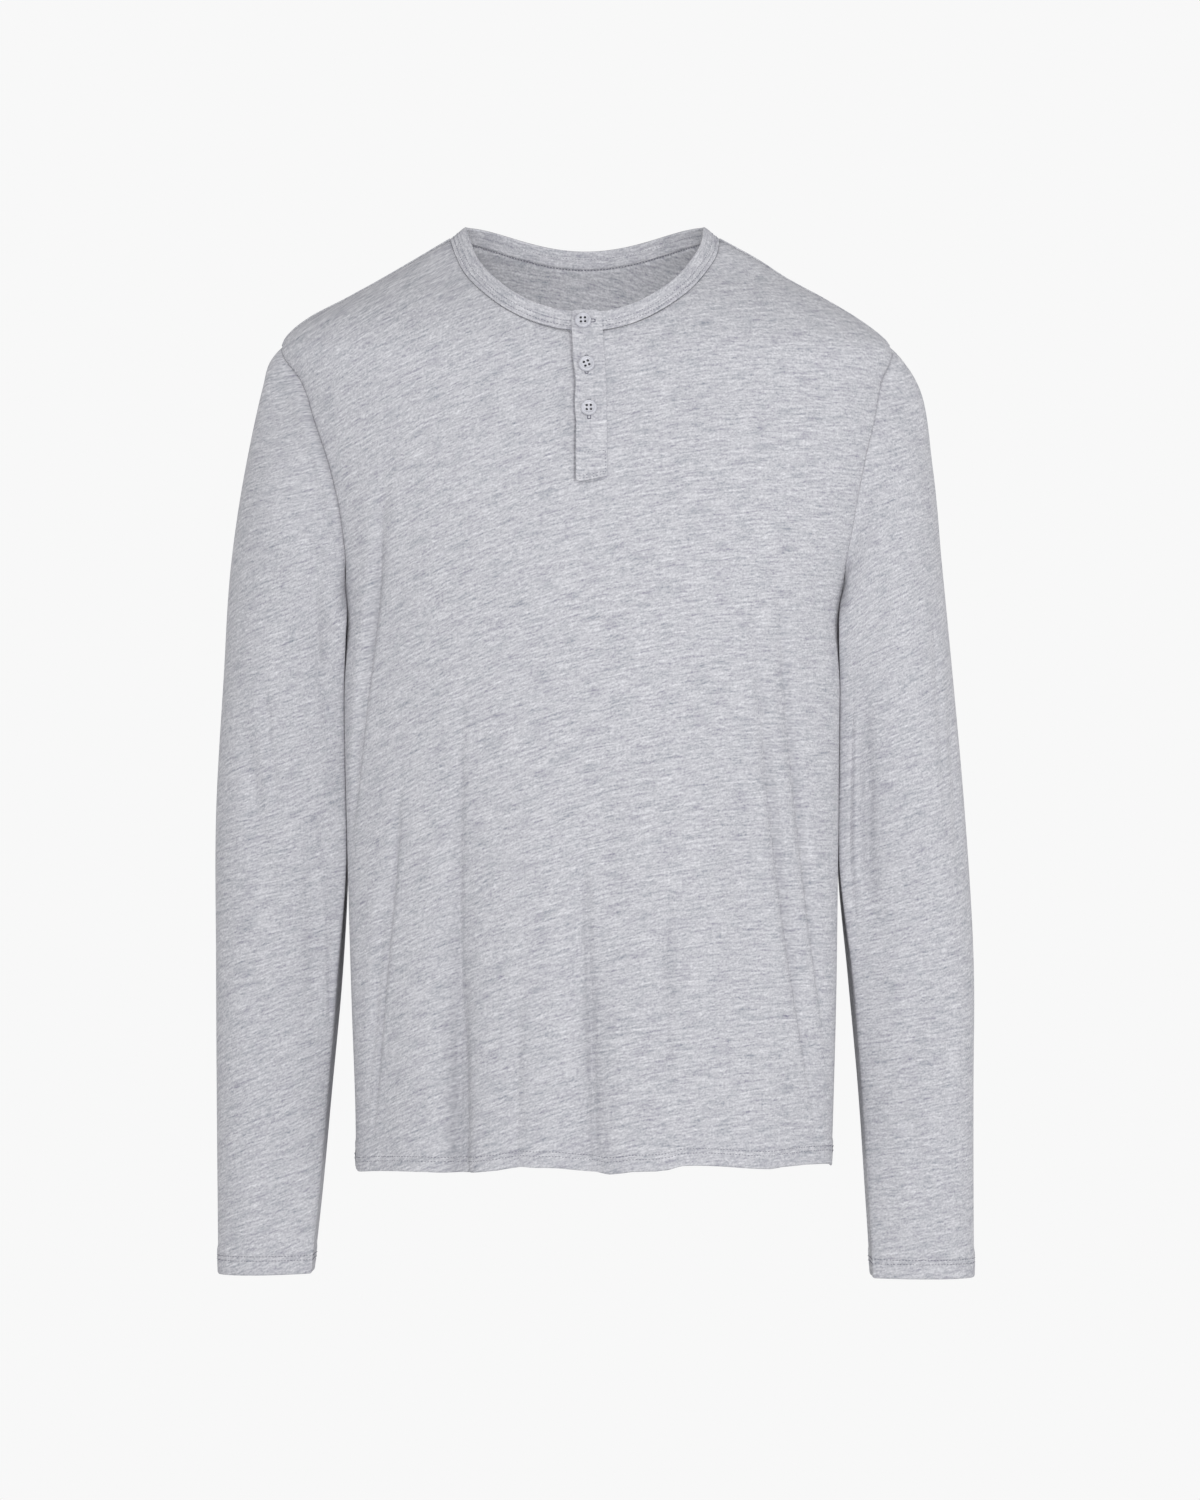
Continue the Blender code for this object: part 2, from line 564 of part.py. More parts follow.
def panel_grid(behind):
    """A panel of the trunk in rows: the hem's edge and top, then up to the shoulder."""
    neck = NECK_COLUMNS_BACK if behind else NECK_COLUMNS_FRONT
    u = np.linspace(0, 1, neck + 2 * SHOULDER_COLUMNS + 1)
    hem = HEM_DEPTH / (UNDERARM_HEIGHT - HEM_HEIGHT) * UNDERARM_SHARE
    below = np.linspace(hem, UNDERARM_SHARE, BODY_ROWS)
    above = UNDERARM_SHARE + (1 - UNDERARM_SHARE) * climbs()[1:]
    return body_cloth(*panel_plan(u, np.concatenate(([0.0], below, above)), behind))


def sleeve_grid(name):
    """A sleeve in rings from the armhole to the cuff, each going round from the shoulder."""
    front = math.pi * (1 - climbs()[::-1])
    turn = np.concatenate((front, 2 * math.pi - front[-2:0:-1]))
    along = np.linspace(0, 1, SLEEVE_RINGS) ** SLEEVE_SPREAD * (1 - HEM_DEPTH / SLEEVE_LENGTH)
    return sleeve_cloth(name, turn[None, :], np.concatenate((along, [1.0]))[:, None])


def band_grid():
    """The neck band from the wearer's left of the placket round to its right, in rows upwards."""
    front = np.arange(NECK_COLUMNS_FRONT // 2 + 1) * 2 / NECK_COLUMNS_FRONT
    back = 1 + np.arange(1, NECK_COLUMNS_BACK) * 2 / NECK_COLUMNS_BACK
    shared = np.concatenate((front, back, 3 + front))
    ends = (neck_place(SLOT_MAX_X + SEAM_GAP), 4 + neck_place(SLOT_MIN_X - SEAM_GAP))
    place = shared.copy()
    place[0], place[-1] = ends
    seam = np.stack([np.interp(place, shared, axis) for axis in neck_seam(shared).T], axis=-1)
    up = band_up(place)
    return np.stack([seam + up * BAND_HEIGHT * share for share in (0, 0.5, 1)])


def grid_normals(grid, closed=False):
    """Unit normals of a grid of points, on the side its columns turn to from its rows."""
    if closed:
        return grid_normals(np.concatenate((grid[:, -1:], grid, grid[:, :1]), axis=1))[:, 1:-1]
    return unit(np.cross(np.gradient(grid, axis=1), np.gradient(grid, axis=0)))


def slopes_along(edge, closed):
    if closed:
        return np.roll(edge, -1, axis=0) - np.roll(edge, 1, axis=0)
    return np.gradient(edge, axis=0)


def sewn_grids():
    """Every large piece's grid, with its sewn edges drawn back so that the walls keep SEAM_GAP.

    Walls that meet at a bend come closest on its inner side, so they draw back further there.
    """
    grids = {
        "body_front": panel_grid(False),
        "body_back": panel_grid(True),
        "sleeve_left": sleeve_grid("left"),
        "sleeve_right": sleeve_grid("right"),
        "neck_band": band_grid(),
    }
    closed = {name: name in ("sleeve_left", "sleeve_right") for name in grids}
    normals = {name: grid_normals(grid, closed[name]) for name, grid in grids.items()}
    normals["sleeve_right"] *= -1
    nearby = KDTree(sum(grid.size // 3 for grid in grids.values()))
    owners = []
    for name, grid in grids.items():
        for point, normal in zip(grid.reshape(-1, 3), normals[name].reshape(-1, 3)):
            nearby.insert(point, len(owners))
            owners.append((name, normal))
    nearby.balance()

    def bend_at(name, point, normal):
        """Half of the angle between a piece and the pieces that it meets at a point."""
        found = [owners[index] for place, index, distance in nearby.find_range(point, STEP)]
        others = [other for owner, other in found if owner != name]
        facing = min([float(normal @ other) for other in others], default=1.0)
        return min(math.acos(min(facing, 1.0)) / 2 + BEND_MARGIN, MAX_HALF_BEND)

    sides = ((np.s_[:, 0], np.s_[:, 1]), (np.s_[:, -1], np.s_[:, -2]), (np.s_[-1], np.s_[-2]))
    seams = {"body_front": sides, "body_back": sides}
    sewn = {name: grid.copy() for name, grid in grids.items()}
    for name, grid in grids.items():
        for edge, inner in seams.get(name, ((np.s_[0], np.s_[1]),)):
            bends = [bend_at(name, *pair) for pair in zip(grid[edge], normals[name][edge])]
            wall = (WALL + BAND_WALL) / 2 if name == "neck_band" else WALL
            back = SEAM_GAP / 2 + wall / 2 * np.tan(bends)
            along = unit(slopes_along(grid[edge], closed[name]))
            into = grid[inner] - grid[edge]
            into = into - along * np.sum(into * along, axis=-1, keepdims=True)
            sewn[name][edge] += unit(into) * back[:, None]
    return sewn


def strip_points(x, bottom, top, lift):
    """Part of the placket: columns at x, and rows from a height bottom to a run top."""
    share = np.linspace(0, 1, PLACKET_ROWS + 1)[:, None]
    low = bottom + NECK_DROP_FRONT
    return strip_surface(x[None, :], low + (top - low) * share, lift)


def overlap_points():
    x = np.linspace(PLACKET_FREE_EDGE, PLACKET_SEAM, PLACKET_COLUMNS + 1)
    middle = (PLACKET_FREE_EDGE + PLACKET_SEAM) / 2
    corner = np.abs(x - middle) / (PLACKET_SEAM - middle)
    top = BAND_HEIGHT + PLACKET_TOP_RISE - PLACKET_TOP_ROUND * corner**4
    return strip_points(x, PLACKET_BOTTOM, top, PLACKET_LIFT)


def underlap_points():
    gap = 1.5 * SEAM_GAP
    x = np.linspace(SLOT_MIN_X + gap, SLOT_MAX_X - gap, PLACKET_COLUMNS + 1)
    return strip_points(x, SLOT_BOTTOM + gap, BAND_HEIGHT, 0.0)


# ---- Objects ------------------------------------------------------------------------------------


def new_material(name, colour, roughness):
    material = bpy.data.materials.new(name)
    material.use_nodes = True
    shader = material.node_tree.nodes["Principled BSDF"]
    shader.inputs["Base Color"].default_value = (*colour, 1)
    shader.inputs["Roughness"].default_value = roughness
    shader.inputs["Metallic"].default_value = 0
    return material


def new_collection(name):
    collection = bpy.data.collections.new(name)
    bpy.context.scene.collection.children.link(collection)
    return collection


def cloth_object(name, points, wall, material, collection, closed=False, turned=False, hem=None):
    """A grid of points, in rows, made a wall of cloth.

    closed joins each row's end to its start, turned swaps the sides, and hem names the two rows
    where the wall has HEM_WALL.
    """
    rows, columns = points.shape[:2]
    index = np.arange(rows * columns).reshape(rows, columns)
    if closed:
        index = np.concatenate((index, index[:, :1]), axis=1)
    faces = np.stack((index[:-1, :-1], index[:-1, 1:], index[1:, 1:], index[1:, :-1]), axis=-1)
    faces = faces.reshape(-1, 4)
    mesh = bpy.data.meshes.new(name)
    faces = faces[:, ::-1] if turned else faces
    mesh.from_pydata(points.reshape(-1, 3).tolist(), [], faces.tolist())
    mesh.materials.append(material)
    mesh.shade_smooth()
    cloth = bpy.data.objects.new(name, mesh)
    collection.objects.link(cloth)
    solidify = cloth.modifiers.new("wall", "SOLIDIFY")
    solidify.thickness = wall
    solidify.offset = 0
    if hem:
        group = cloth.vertex_groups.new(name="hem")
        group.add([int(i) for row in hem for i in index[row, :columns]], 1.0, "REPLACE")
        solidify.thickness = HEM_WALL
        solidify.vertex_group = group.name
        solidify.thickness_vertex_group = wall / HEM_WALL
    return cloth


def cut(thing, cutter):
    boolean = thing.modifiers.new(cutter.name, "BOOLEAN")
    boolean.operation = "DIFFERENCE"
    boolean.object = cutter
    cutter.hide_render = True
    cutter.display_type = "WIRE"


def slot_cutter(collection):
    """A block that opens the front from the neckline down, under the placket."""
    mesh = bpy.data.meshes.new("slot")
    form = bmesh.new()
    bmesh.ops.create_cube(form, size=1.0)
    size = (SLOT_MAX_X - SLOT_MIN_X, 0.1, 0.15)
    bmesh.ops.scale(form, vec=size, verts=form.verts)
    middle = ((SLOT_MAX_X + SLOT_MIN_X) / 2, -0.1, SLOT_BOTTOM + size[2] / 2)
    bmesh.ops.translate(form, vec=middle, verts=form.verts)
    form.to_mesh(mesh)
    form.free()
    cutter = bpy.data.objects.new("slot", mesh)
    collection.objects.link(cutter)
    return cutter


def button_mesh(material):
    """Half of a button's outline, from its axis down its outer side and back."""
    mesh = bpy.data.meshes.new("button")
    outline = [(radius, 0, height) for radius, height in BUTTON_OUTLINE]
    edges = [(i, i + 1) for i in range(len(outline) - 1)]
    mesh.from_pydata(outline, edges, [])
    mesh.materials.append(material)
    return mesh


def hole_mesh():
    """Four drills for a button's holes."""
    mesh = bpy.data.meshes.new("holes")
    form = bmesh.new()
    for x in (-1, 1):
        for y in (-1, 1):
            place = (x * BUTTON_HOLE_SPREAD, y * BUTTON_HOLE_SPREAD, BUTTON_THICKNESS / 2)
            bmesh.ops.create_cone(
                form, cap_ends=True, segments=BUTTON_HOLE_SIDES, radius1=BUTTON_HOLE_RADIUS,
                radius2=BUTTON_HOLE_RADIUS, depth=3 * BUTTON_THICKNESS,
                matrix=Matrix.Translation(place),
            )
    form.to_mesh(mesh)
    form.free()
    return mesh


def button_place(x, height):
    """A matrix on the placket's face, with Z outwards and Y up along it."""
    x, run = np.array([x]), np.array([height + NECK_DROP_FRONT])
    lift = PLACKET_LIFT + PLACKET_WALL / 2 + 1.5 * SEAM_GAP
    out = strip_outward(x, run)[0]
    side = unit(np.cross((0, 0, 1), out))
    place = Matrix((side, np.cross(out, side), out)).transposed().to_4x4()
    place.translation = Vector(strip_surface(x, run, lift)[0])
    return place


def add_button(name, mesh, drill, place, shirt, cutters):
    button = bpy.data.objects.new(name, mesh)
    shirt.objects.link(button)
    button.matrix_world = place
    screw = button.modifiers.new("turned", "SCREW")
    screw.axis = "Z"
    screw.steps = screw.render_steps = BUTTON_SIDES
    screw.use_merge_vertices = True
    screw.merge_threshold = 1e-5
    holes = bpy.data.objects.new(name + "_holes", drill)
    cutters.objects.link(holes)
    holes.matrix_world = place
    cut(button, holes)


def build():
    for thing in list(bpy.data.objects):
        bpy.data.objects.remove(thing, do_unlink=True)
    shirt, cutters = new_collection("henley_shirt"), new_collection("cutters")
    jersey, plastic = new_material(*JERSEY), new_material(*BUTTON)

    grids = sewn_grids()
    front = cloth_object("body_front", grids["body_front"], WALL, jersey, shirt, hem=(0, 1))
    cut(front, slot_cutter(cutters))
    cloth_object("body_back", grids["body_back"], WALL, jersey, shirt, hem=(0, 1))
    for name, mirrored in (("sleeve_left", False), ("sleeve_right", True)):
        cloth_object(
            name, grids[name], WALL, jersey, shirt, closed=True, turned=mirrored, hem=(-2, -1)
        )
    cloth_object("neck_band", grids["neck_band"], BAND_WALL, jersey, shirt)
    cloth_object("placket_over", overlap_points(), PLACKET_WALL, jersey, shirt)
    cloth_object("placket_under", underlap_points(), PLACKET_WALL, jersey, shirt)

    mesh, drill = button_mesh(plastic), hole_mesh()
    for number, (x, height) in enumerate(BUTTONS, 1):
        add_button(f"button_{number}", mesh, drill, button_place(x, height), shirt, cutters)


build()
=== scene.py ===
"""Henley shirt: its cloth, stitching and buttons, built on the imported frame.

Metres, +Z up. The shirt faces -Y and the wearer's left arm is on +X. The origin is the middle of the
line between the two points where the neck seam crosses the shoulder seams, so heights are negative.

All cloth lies on two surfaces, worked out from the tables below:
  body_cloth    goes round the trunk: its bearing is 0 at the front, 90 degrees at +X, 180 behind
  sleeve_cloth  goes round an arm: its turn is 0 outside the arm, 90 degrees in front, 180 inside
Each piece is a fine grid of points on them, made a thin shell.
"""

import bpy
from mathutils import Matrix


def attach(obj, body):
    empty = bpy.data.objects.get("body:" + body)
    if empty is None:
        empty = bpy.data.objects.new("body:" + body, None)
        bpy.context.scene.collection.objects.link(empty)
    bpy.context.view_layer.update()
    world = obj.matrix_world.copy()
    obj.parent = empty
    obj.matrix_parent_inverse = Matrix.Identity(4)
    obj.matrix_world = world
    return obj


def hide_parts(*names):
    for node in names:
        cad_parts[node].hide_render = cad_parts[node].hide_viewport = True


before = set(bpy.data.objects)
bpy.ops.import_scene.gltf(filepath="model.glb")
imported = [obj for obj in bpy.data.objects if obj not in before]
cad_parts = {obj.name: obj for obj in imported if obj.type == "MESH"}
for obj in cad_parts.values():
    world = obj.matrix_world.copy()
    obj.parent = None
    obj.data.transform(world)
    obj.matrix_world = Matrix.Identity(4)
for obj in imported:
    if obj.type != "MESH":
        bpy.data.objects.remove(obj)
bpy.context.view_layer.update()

import math

import bpy
import numpy as np
from mathutils import Matrix, Vector

bl_info = {
    "name": "Henley shirt",
    "version": (1, 0, 0),
    "blender": (4, 5, 0),
    "location": "3D View > Sidebar > Shirt",
    "description": "Builds a long-sleeved henley shirt in slub jersey",
    "category": "Object",
}

STEP = 1e-4  # half the distance over which slopes are taken

# Trunk
HEM_HEIGHT = -0.6995
HEM_TILT = 0.011  # it rises a little towards the wearer's left
HEM_FRONT_RISE = 0.0050
HEM_WAVE = 0.0021
HEM_WAVE_LENGTH = 0.120
HEM_WAVE_CREST = -0.051
HEM_HALF_WIDTH = 0.178
HEM_DETAIL_END = 0.25  # cosine of the bearing from which HEM_DETAIL is whole
UNDERARM_HEIGHT = -0.268
SHOULDER_HEIGHT = -0.080  # outer end of the shoulder seam
ARMHOLE_SCOOP_FRONT = math.radians(30)
ARMHOLE_SCOOP_BACK = math.radians(27)
ARMHOLE_ROUNDNESS = 0.6  # below 1, the curve leaves the shoulder and side seams squarely

# Hems of the trunk and the sleeves
HEM_DEPTH = 0.018  # how far the hem is turned up
HEM_FOLD = 0.0012  # the folded edge is rounded over this height
HEM_FOLD_LEAST = 0.04  # square of the share of its thickness at the very edge
HEM_STEP = 0.0025  # height over which the wall falls to one layer, above the hem
HEM_ROWS = (0.0, 0.0005, 0.0014, 0.0030, 0.0062, 0.0092, 0.0106, 0.0123, 0.0140, 0.0154)
HEM_TOP_ROW = 0.0178  # the rows of points are evenly spaced from here
STITCH_DIP = 0.00035  # how far a hem is drawn in along its two rows of stitches
STITCH_DIP_WIDTH = 0.0009
RIPPLE = 0.00025  # small puckers between a hem's stitches, up to 1.8 times this
RIPPLE_TURNS = (690.0, 373.0)  # radians for each metre along the hem, of two waves
RIPPLE_DRIFT = 61.0  # the same, of the first wave's straying
RIPPLE_MIDDLE = 0.012  # height at which they are strongest, and the reach above and below it
RIPPLE_REACH = 0.007

# Neck
NECK_DROP_FRONT = 0.075
NECK_DROP_BACK = 0.018
NECK_SHAPE_FRONT = 1.35  # at 1 it is half an ellipse; above, it keeps higher at the sides
NECK_SHAPE_BACK = 3.5
NECK_CENTRE_X = -0.002
NECK_CENTRE_Y = -0.012
BAND_HEIGHT = 0.015
BAND_WALL = 0.0022
BAND_SWELL = 0.10  # how much thicker it is in the middle of its height
BAND_ROUNDNESS = 0.34  # at 1 its section is an ellipse, near 0 a rectangle
BAND_LEAN_SIDE = math.radians(52)
BAND_LEAN_ENDS = math.radians(18)
BAND_ROWS = (0.0030, 0.0068)  # heights of the two rows of stitches on the band's outside
BAND_ROWS_INSIDE = (0.0006, 0.0090)
BAND_ROW_ENDS = 0.01  # how far they stop short of the band's ends, as a place round the neck
BAND_GROOVE = 0.00045  # how far the band is drawn in along them
BAND_GROOVE_INSIDE = 0.0009
BAND_GROOVE_WIDTH = 0.0007
INNER_SLACK = 0.9  # how much thicker the loose thread of the lower inside row is

# Placket, measured across the front from the centre line
PLACKET_FREE_EDGE = -0.0118
PLACKET_SEAM = 0.0113
PLACKET_BOTTOM = -0.1885
PLACKET_TOP_RISE = 0.0012  # its rounded top stands this far above the band
PLACKET_TOP_ROUND = 0.0022  # and its corners lie this much below the middle
PLACKET_WALL = 0.0015
UNDER_WALL = 0.0013
UNDER_LIFT = -0.0002
UNDER_GAP = 0.0004  # between the lower strip and the edges of the slot
STRIP_BEND = 0.006  # length over which it turns from the front to the band
STRIP_ROUNDING = (24, 120)  # how square its edges are, across it and along it
PLACKET_LIFT = 0.0021  # from the middle of the panel's wall to the middle of the placket's
SEAM_LIFT = 0.0012  # the same where it is sewn down
SEAM_SLOPE = 0.0065  # width over which it is drawn down to its seam
SLOT_MIN_X = -0.0098  # the opening under the placket
SLOT_MAX_X = 0.0090
SLOT_BOTTOM = -0.1740
SLOT_COLUMNS = 5  # columns of points each side of the slot's edges that move with them
SLOT_FADE = 0.03  # and height below the slot over which they come back
PLACKET_LEAN = (  # height, and how far the placket has moved there to the wearer's left
    (-0.170, -0.145, -0.120, -0.100, -0.085, -0.070),
    (0.0034, 0.0032, 0.0028, 0.0017, 0.0007, 0.0),
)
LEAN_REACH = 0.035  # the front's columns of points lean with it this far to each side
FREE_EDGE_WAVE = (  # height, and how far its free edge strays besides
    (-0.190, -0.166, -0.154, -0.144, -0.134, -0.125, -0.115, -0.1065, -0.0985, -0.0885, -0.070),
    (0.0, 0.0, 0.0002, 0.0005, -0.0002, -0.0002, 0.0009, 0.0006, -0.0001, 0.0002, -0.0001),
)
FREE_EDGE_WAVE_REACH = (0.3, -1.0)  # shares across the placket between which that grows
FREE_EDGE_RISE = 0.0005  # how much higher it lies than the middle of the strip
FREE_EDGE_SLOPE = 0.006  # over this width
FREE_EDGE_SINK = 0.0016  # the front sinks beside it
FREE_EDGE_SINK_WIDTH = 0.0009
FREE_EDGE_SINK_PLACE = 0.0004  # deepest this far outside the edge
SINK_FADES = (0.002, 0.004)  # along the bottom it fades over these widths, at the edge and the seam
SINK_END = 0.001  # and beside the edge over this much above and below the bottom
FOOT_SLOPE = 0.0018  # the placket's bottom rises to this much each side of its middle
FOOT_ROUND = 0.0016  # and its free corner is rounded by this much
FOOT_ROUND_START = 0.80  # from this share of its half width
FOOT_SHARE = 0.12  # share of the placket's length over which that dies away
BOX_TOP = -0.1668  # the stitched box at the placket's foot
BOX_SEWN = 0.4  # how far the strip is drawn down over it
BOX_EDGE = (0.004, -0.002)  # heights from BOX_TOP between which that begins
BOX_INSETS = (0.0018, 0.0014, 0.0014)  # from its stitches to the free edge, the seam and the bottom
BOX_TOP_START = 0.0035  # the top row starts this much further in
BOX_TOP_RISE = 0.0006
BOX_ROW_GAP = 0.0019  # between the two rows at the bottom
BOX_FAR_RISE = (0.0006, 0.0030)  # their ends at the free edge, over the box's bottom

# Seams
SEAM_DIP = 0.0011  # how far the cloth sinks along a seam
SEAM_DIP_WIDTH = 0.0032
SIDE_SEAM = 0.3  # each seam's sinking, against SEAM_DIP
ARMHOLE_SEAM = 0.6
SEAM_CHANGE = 0.01  # one turns into the other over this much above and below the underarm
TOP_SEAM = 1.3
TOP_SEAM_WIDTH = 0.0018
TOP_SEAM_BACK = -1.1  # behind, it stands out instead, and is a groove inside
TOP_SEAM_BACK_WIDTH = 0.0011
ARMHOLE_TUCK = (-0.0026, 0.0026)  # a deeper seam, and the fullness of the sleeve that hangs over it
ARMHOLE_TUCK_WIDTHS = (0.0026, 0.0065)
ARMHOLE_TUCK_PLACE = 0.0095  # from the seam to the crest of that fullness
ARMHOLE_TUCK_HEIGHTS = (-0.290, -0.215, -0.135, -0.095)  # it grows, stays, and dies away
ARMHOLE_TUCK_FRONT = 0.4  # sine of the turn from which it is whole

# Buttons, and the buttonholes that they are fastened through
BUTTONS = (  # across, height, turn on the thread in radians
    (-0.0032, -0.0680, 0.05),
    (-0.0005, -0.1012, 0.38),
    (0.0012, -0.1342, 0.02),
)
BUTTONHOLES = (  # middle across, middle height, half length across, half length up
    (-0.0011, -0.0680, 0.0070, 0.0),
    (-0.0005, -0.1014, 0.0, 0.0068),
    (0.0014, -0.1349, 0.0, 0.0072),
)
BUTTON_OUTLINE = (  # radius, height, from the middle of the face to the middle of the back
    (0.0, 0.00205),
    (0.0020, 0.00205),
    (0.0036, 0.00208),
    (0.0041, 0.00222),
    (0.0044, 0.00258),
    (0.0047, 0.00278),
    (0.0051, 0.00282),
    (0.0055, 0.00268),
    (0.0059, 0.00232),
    (0.0062, 0.0018),
    (0.0064, 0.0012),
    (0.00638, 0.0006),
    (0.0061, 0.00022),
    (0.0056, 0.00004),
    (0.0045, 0.0),
    (0.0, 0.0),
)
BUTTON_SIDES = 64
BUTTON_SHARPNESS = math.radians(38)
BUTTON_LIFT = 0.0005  # from the placket's face to the button's back
BUTTON_HOLE_RADIUS = 0.00102
BUTTON_HOLE_SPREAD = 0.00163
DRILL_REACH = 0.01
BUTTON_STRAND = 0.00052  # radius of each of the two strands in a hole; they fill it, and their near-black colour is painted shade
BUTTON_STRAND_SPREAD = 0.00044
BUTTON_STRAND_ENDS = (-BUTTON_LIFT - 0.0004, 0.0012)  # heights over the button's back
BUTTONHOLE_BARS = 96
BUTTONHOLE_HALF_WIDTH = 0.0012
BUTTONHOLE_END = 0.0009  # its ends are rounded over this length
BUTTONHOLE_THREAD = 0.00040
BUTTONHOLE_RIBS = 0.25  # how much its thread swells and shrinks at each bar
BUTTONHOLE_FLATNESS = 0.5  # its thread is this much as high as it is wide
BUTTONHOLE_STRAIGHTNESS = 1.8  # above 1, its long sides are straight over more of their length
BUTTONHOLE_ROUNDNESS = 0.45  # at 1 its ends are half ellipses, near 0 they are square

# How the surfaces are laid out. Each grid has a second, coarser set of numbers, which the script does
# not read.
PANEL_GRID = ((134, 86, 214), (70, 44, 96))  # rows below and above the underarm, and columns
SLEEVE_GRID = ((230, 176), (80, 72))  # rings and columns
BAND_GRID = ((420, 40), (160, 40))  # points along it and round its section
STRIP_ROWS = 140
OVER_COLUMNS = 33
UNDER_COLUMNS = 25
FLATNESS = 0.8  # 1 spaces a panel's columns as seen from in front, 0 evenly round the trunk
SHOULDER_COLUMNS = 7  # on each shoulder seam, against the numbers on the neckline
NECK_COLUMNS_FRONT = 16
NECK_COLUMNS_BACK = 12
UNDERARM_SHARE = 0.66  # share of a panel's height that lies below the underarm
CLIMB_POWER = 1.25  # above 1, its rows lie closer together towards the top
SETTLING_GRID = 33
SETTLING_STEPS = 80
SLEEVE_LENGTH = 0.70
SLEEVE_POWER = 1.08  # above 1, the rings lie closer together at the armhole
SLEEVE_RADIUS = 0.055  # turns round the arm times this are metres of cloth
GIRTH_RADIUS = 0.155  # the same for the trunk
FOLD_FADE = 0.35  # share of a fold over which each end dies away
FACING_EDGE = 0.1  # cosine of the bearing over which the folds pass from front to back
ARMHOLE_REACH = 0.16  # share of the sleeve over which the armhole's own curve dies away
CORNER_CROWDING = 3.0  # how much closer a sleeve's columns of points lie at its corner
CORNER_REACH = math.radians(10)
PLACKET_CROWDING = 5.0  # the same beside the placket's free edge
PLACKET_REACH = 0.011  # shares of the front's width
PLACKET_COLUMN = 0.472
FOOT_CROWDING = 3.0  # and along its bottom
FOOT_REACH = 0.03
FOOT_ROW = 0.272

# Where sleeves and trunk meet. Pairs of widths are in front of a crest and behind it, and pairs of
# shares are where something along the sleeve begins and is whole.
FLANK_TURN = math.radians(166)  # the sleeves' corner, in front of where they meet the trunk
FLANK_DEPTH = 0.058
FLANK_WIDTHS = (math.radians(45), math.radians(3.5))
FLANK_POWERS = (1.25, 2.0)
FLANK_GROWS = (0.01, 0.145)
FLANK_SHRINKS = (0.50, 0.90)
FLANK_SHRINKAGE = 0.65
FLANK_HOOK = 0.0032  # how far the corner stands inwards, over the trunk's own corner
FLANK_HOOK_WIDTHS = (math.radians(8), math.radians(3))
FLANK_HOOK_GROWS = (-0.01, 0.12)
FLANK_HOOK_ENDS = (0.48, 0.68)
CORNER_DEPTH = 0.036  # how much squarer the trunk is in front of its side seams
CORNER_DEPTH_BACK = 0.016  # and behind them
CORNER_WIDTH = math.radians(28)
CORNER_TURN = math.radians(4)  # how near the side seams its corners turn
CORNER_HEIGHTS = (-0.160, -0.250)  # the squareness grows between these
CORNER_NARROWING = 0.030  # the trunk is narrower there by this share of it

# Stitches
HALF_HEM_GAP = 0.004  # radians between the side seams and the hem's first stitches
THREAD_SIDES = 6
STITCH_STATIONS = 5
STITCH_ARC = (0.85, 0.55)  # a stitch rises and starts below the face by these, times the thread
STITCH_ENDS = 0.55  # share of its thickness at its ends
NECK_ROW_SINK = 0.00004

# The knit
COURSE_STARTS = {  # where on the knit each piece begins, in metres along the courses
    "front": 0.0, "back": 3.0, "left": 9.0, "right": 3.0, "band": 9.0, "over": 12.0, "under": 13.0,
}
BAND_BACK_START = 0.04  # how much further up it the band's inside and the strips' backs lie
STRIP_BACK_START = 0.5
WANDER = (0.0016, 0.0016 / 7)  # how far the streaks stray from the courses, in two waves
WANDER_SCALES = (55.0, 210.0)
STREAKS = {  # length and height against the usual slub's, seed and gain
    "threads": (2.5, 1.05, 11.0, 1.45),
    "grain": (0.5, 0.90, 23.0, 1.45),
    "speckle": (0.20, 0.75, 31.0, 1.45),
    "slubs": (2.2, 3.0, 37.0, 1.0),
    "cores": (1.2, 1.0, 53.0, 1.0),
}
SLUB_EDGE = (0.02, 0.22)  # tones of the streaks between which a slub begins and is whole
SLUB_DARKNESS = -0.34
SLUB_STAIN = 0.20  # how much of the slub yarn's colour shows in its soft patches
TONE_SHIFT = 0.03
YARN_EDGE = (0.42, 0.58)  # noise between which one slub yarn gives way to the other
YARN_SCALE = 70.0

# Stage. The camera is level and square to the front.
CAMERA = (0.0094, -4.0, -0.385)
PICTURE_HEIGHT = 1.1325  # metres of the plane y = 0 that the picture shows, top to bottom
LAMPS = {  # place, the point it faces, width and height
    "front_lamp": ((0.0, -3.8, 0.3), (0.0, 0.0, -0.4), (1.5, 1.5)),
    "side_lamp": ((3.2, -1.0, 0.2), (0.0, 0.0, -0.4), (1.2, 2.4)),
    "neck_lamp": ((0.0, -0.062, -0.105), (0.0, 0.075, -0.035), (0.06, 0.03)),
}
CEILING_EDGE = (0.26, 0.70)  # sines of the heights between which the surroundings dim
FLOOR_TONES = (0.80, 0.82)  # greys of its faint mottling


def table(columns, *rows):
    """One array for each named column."""
    return dict(zip(columns.split(), np.array(rows, float).T))


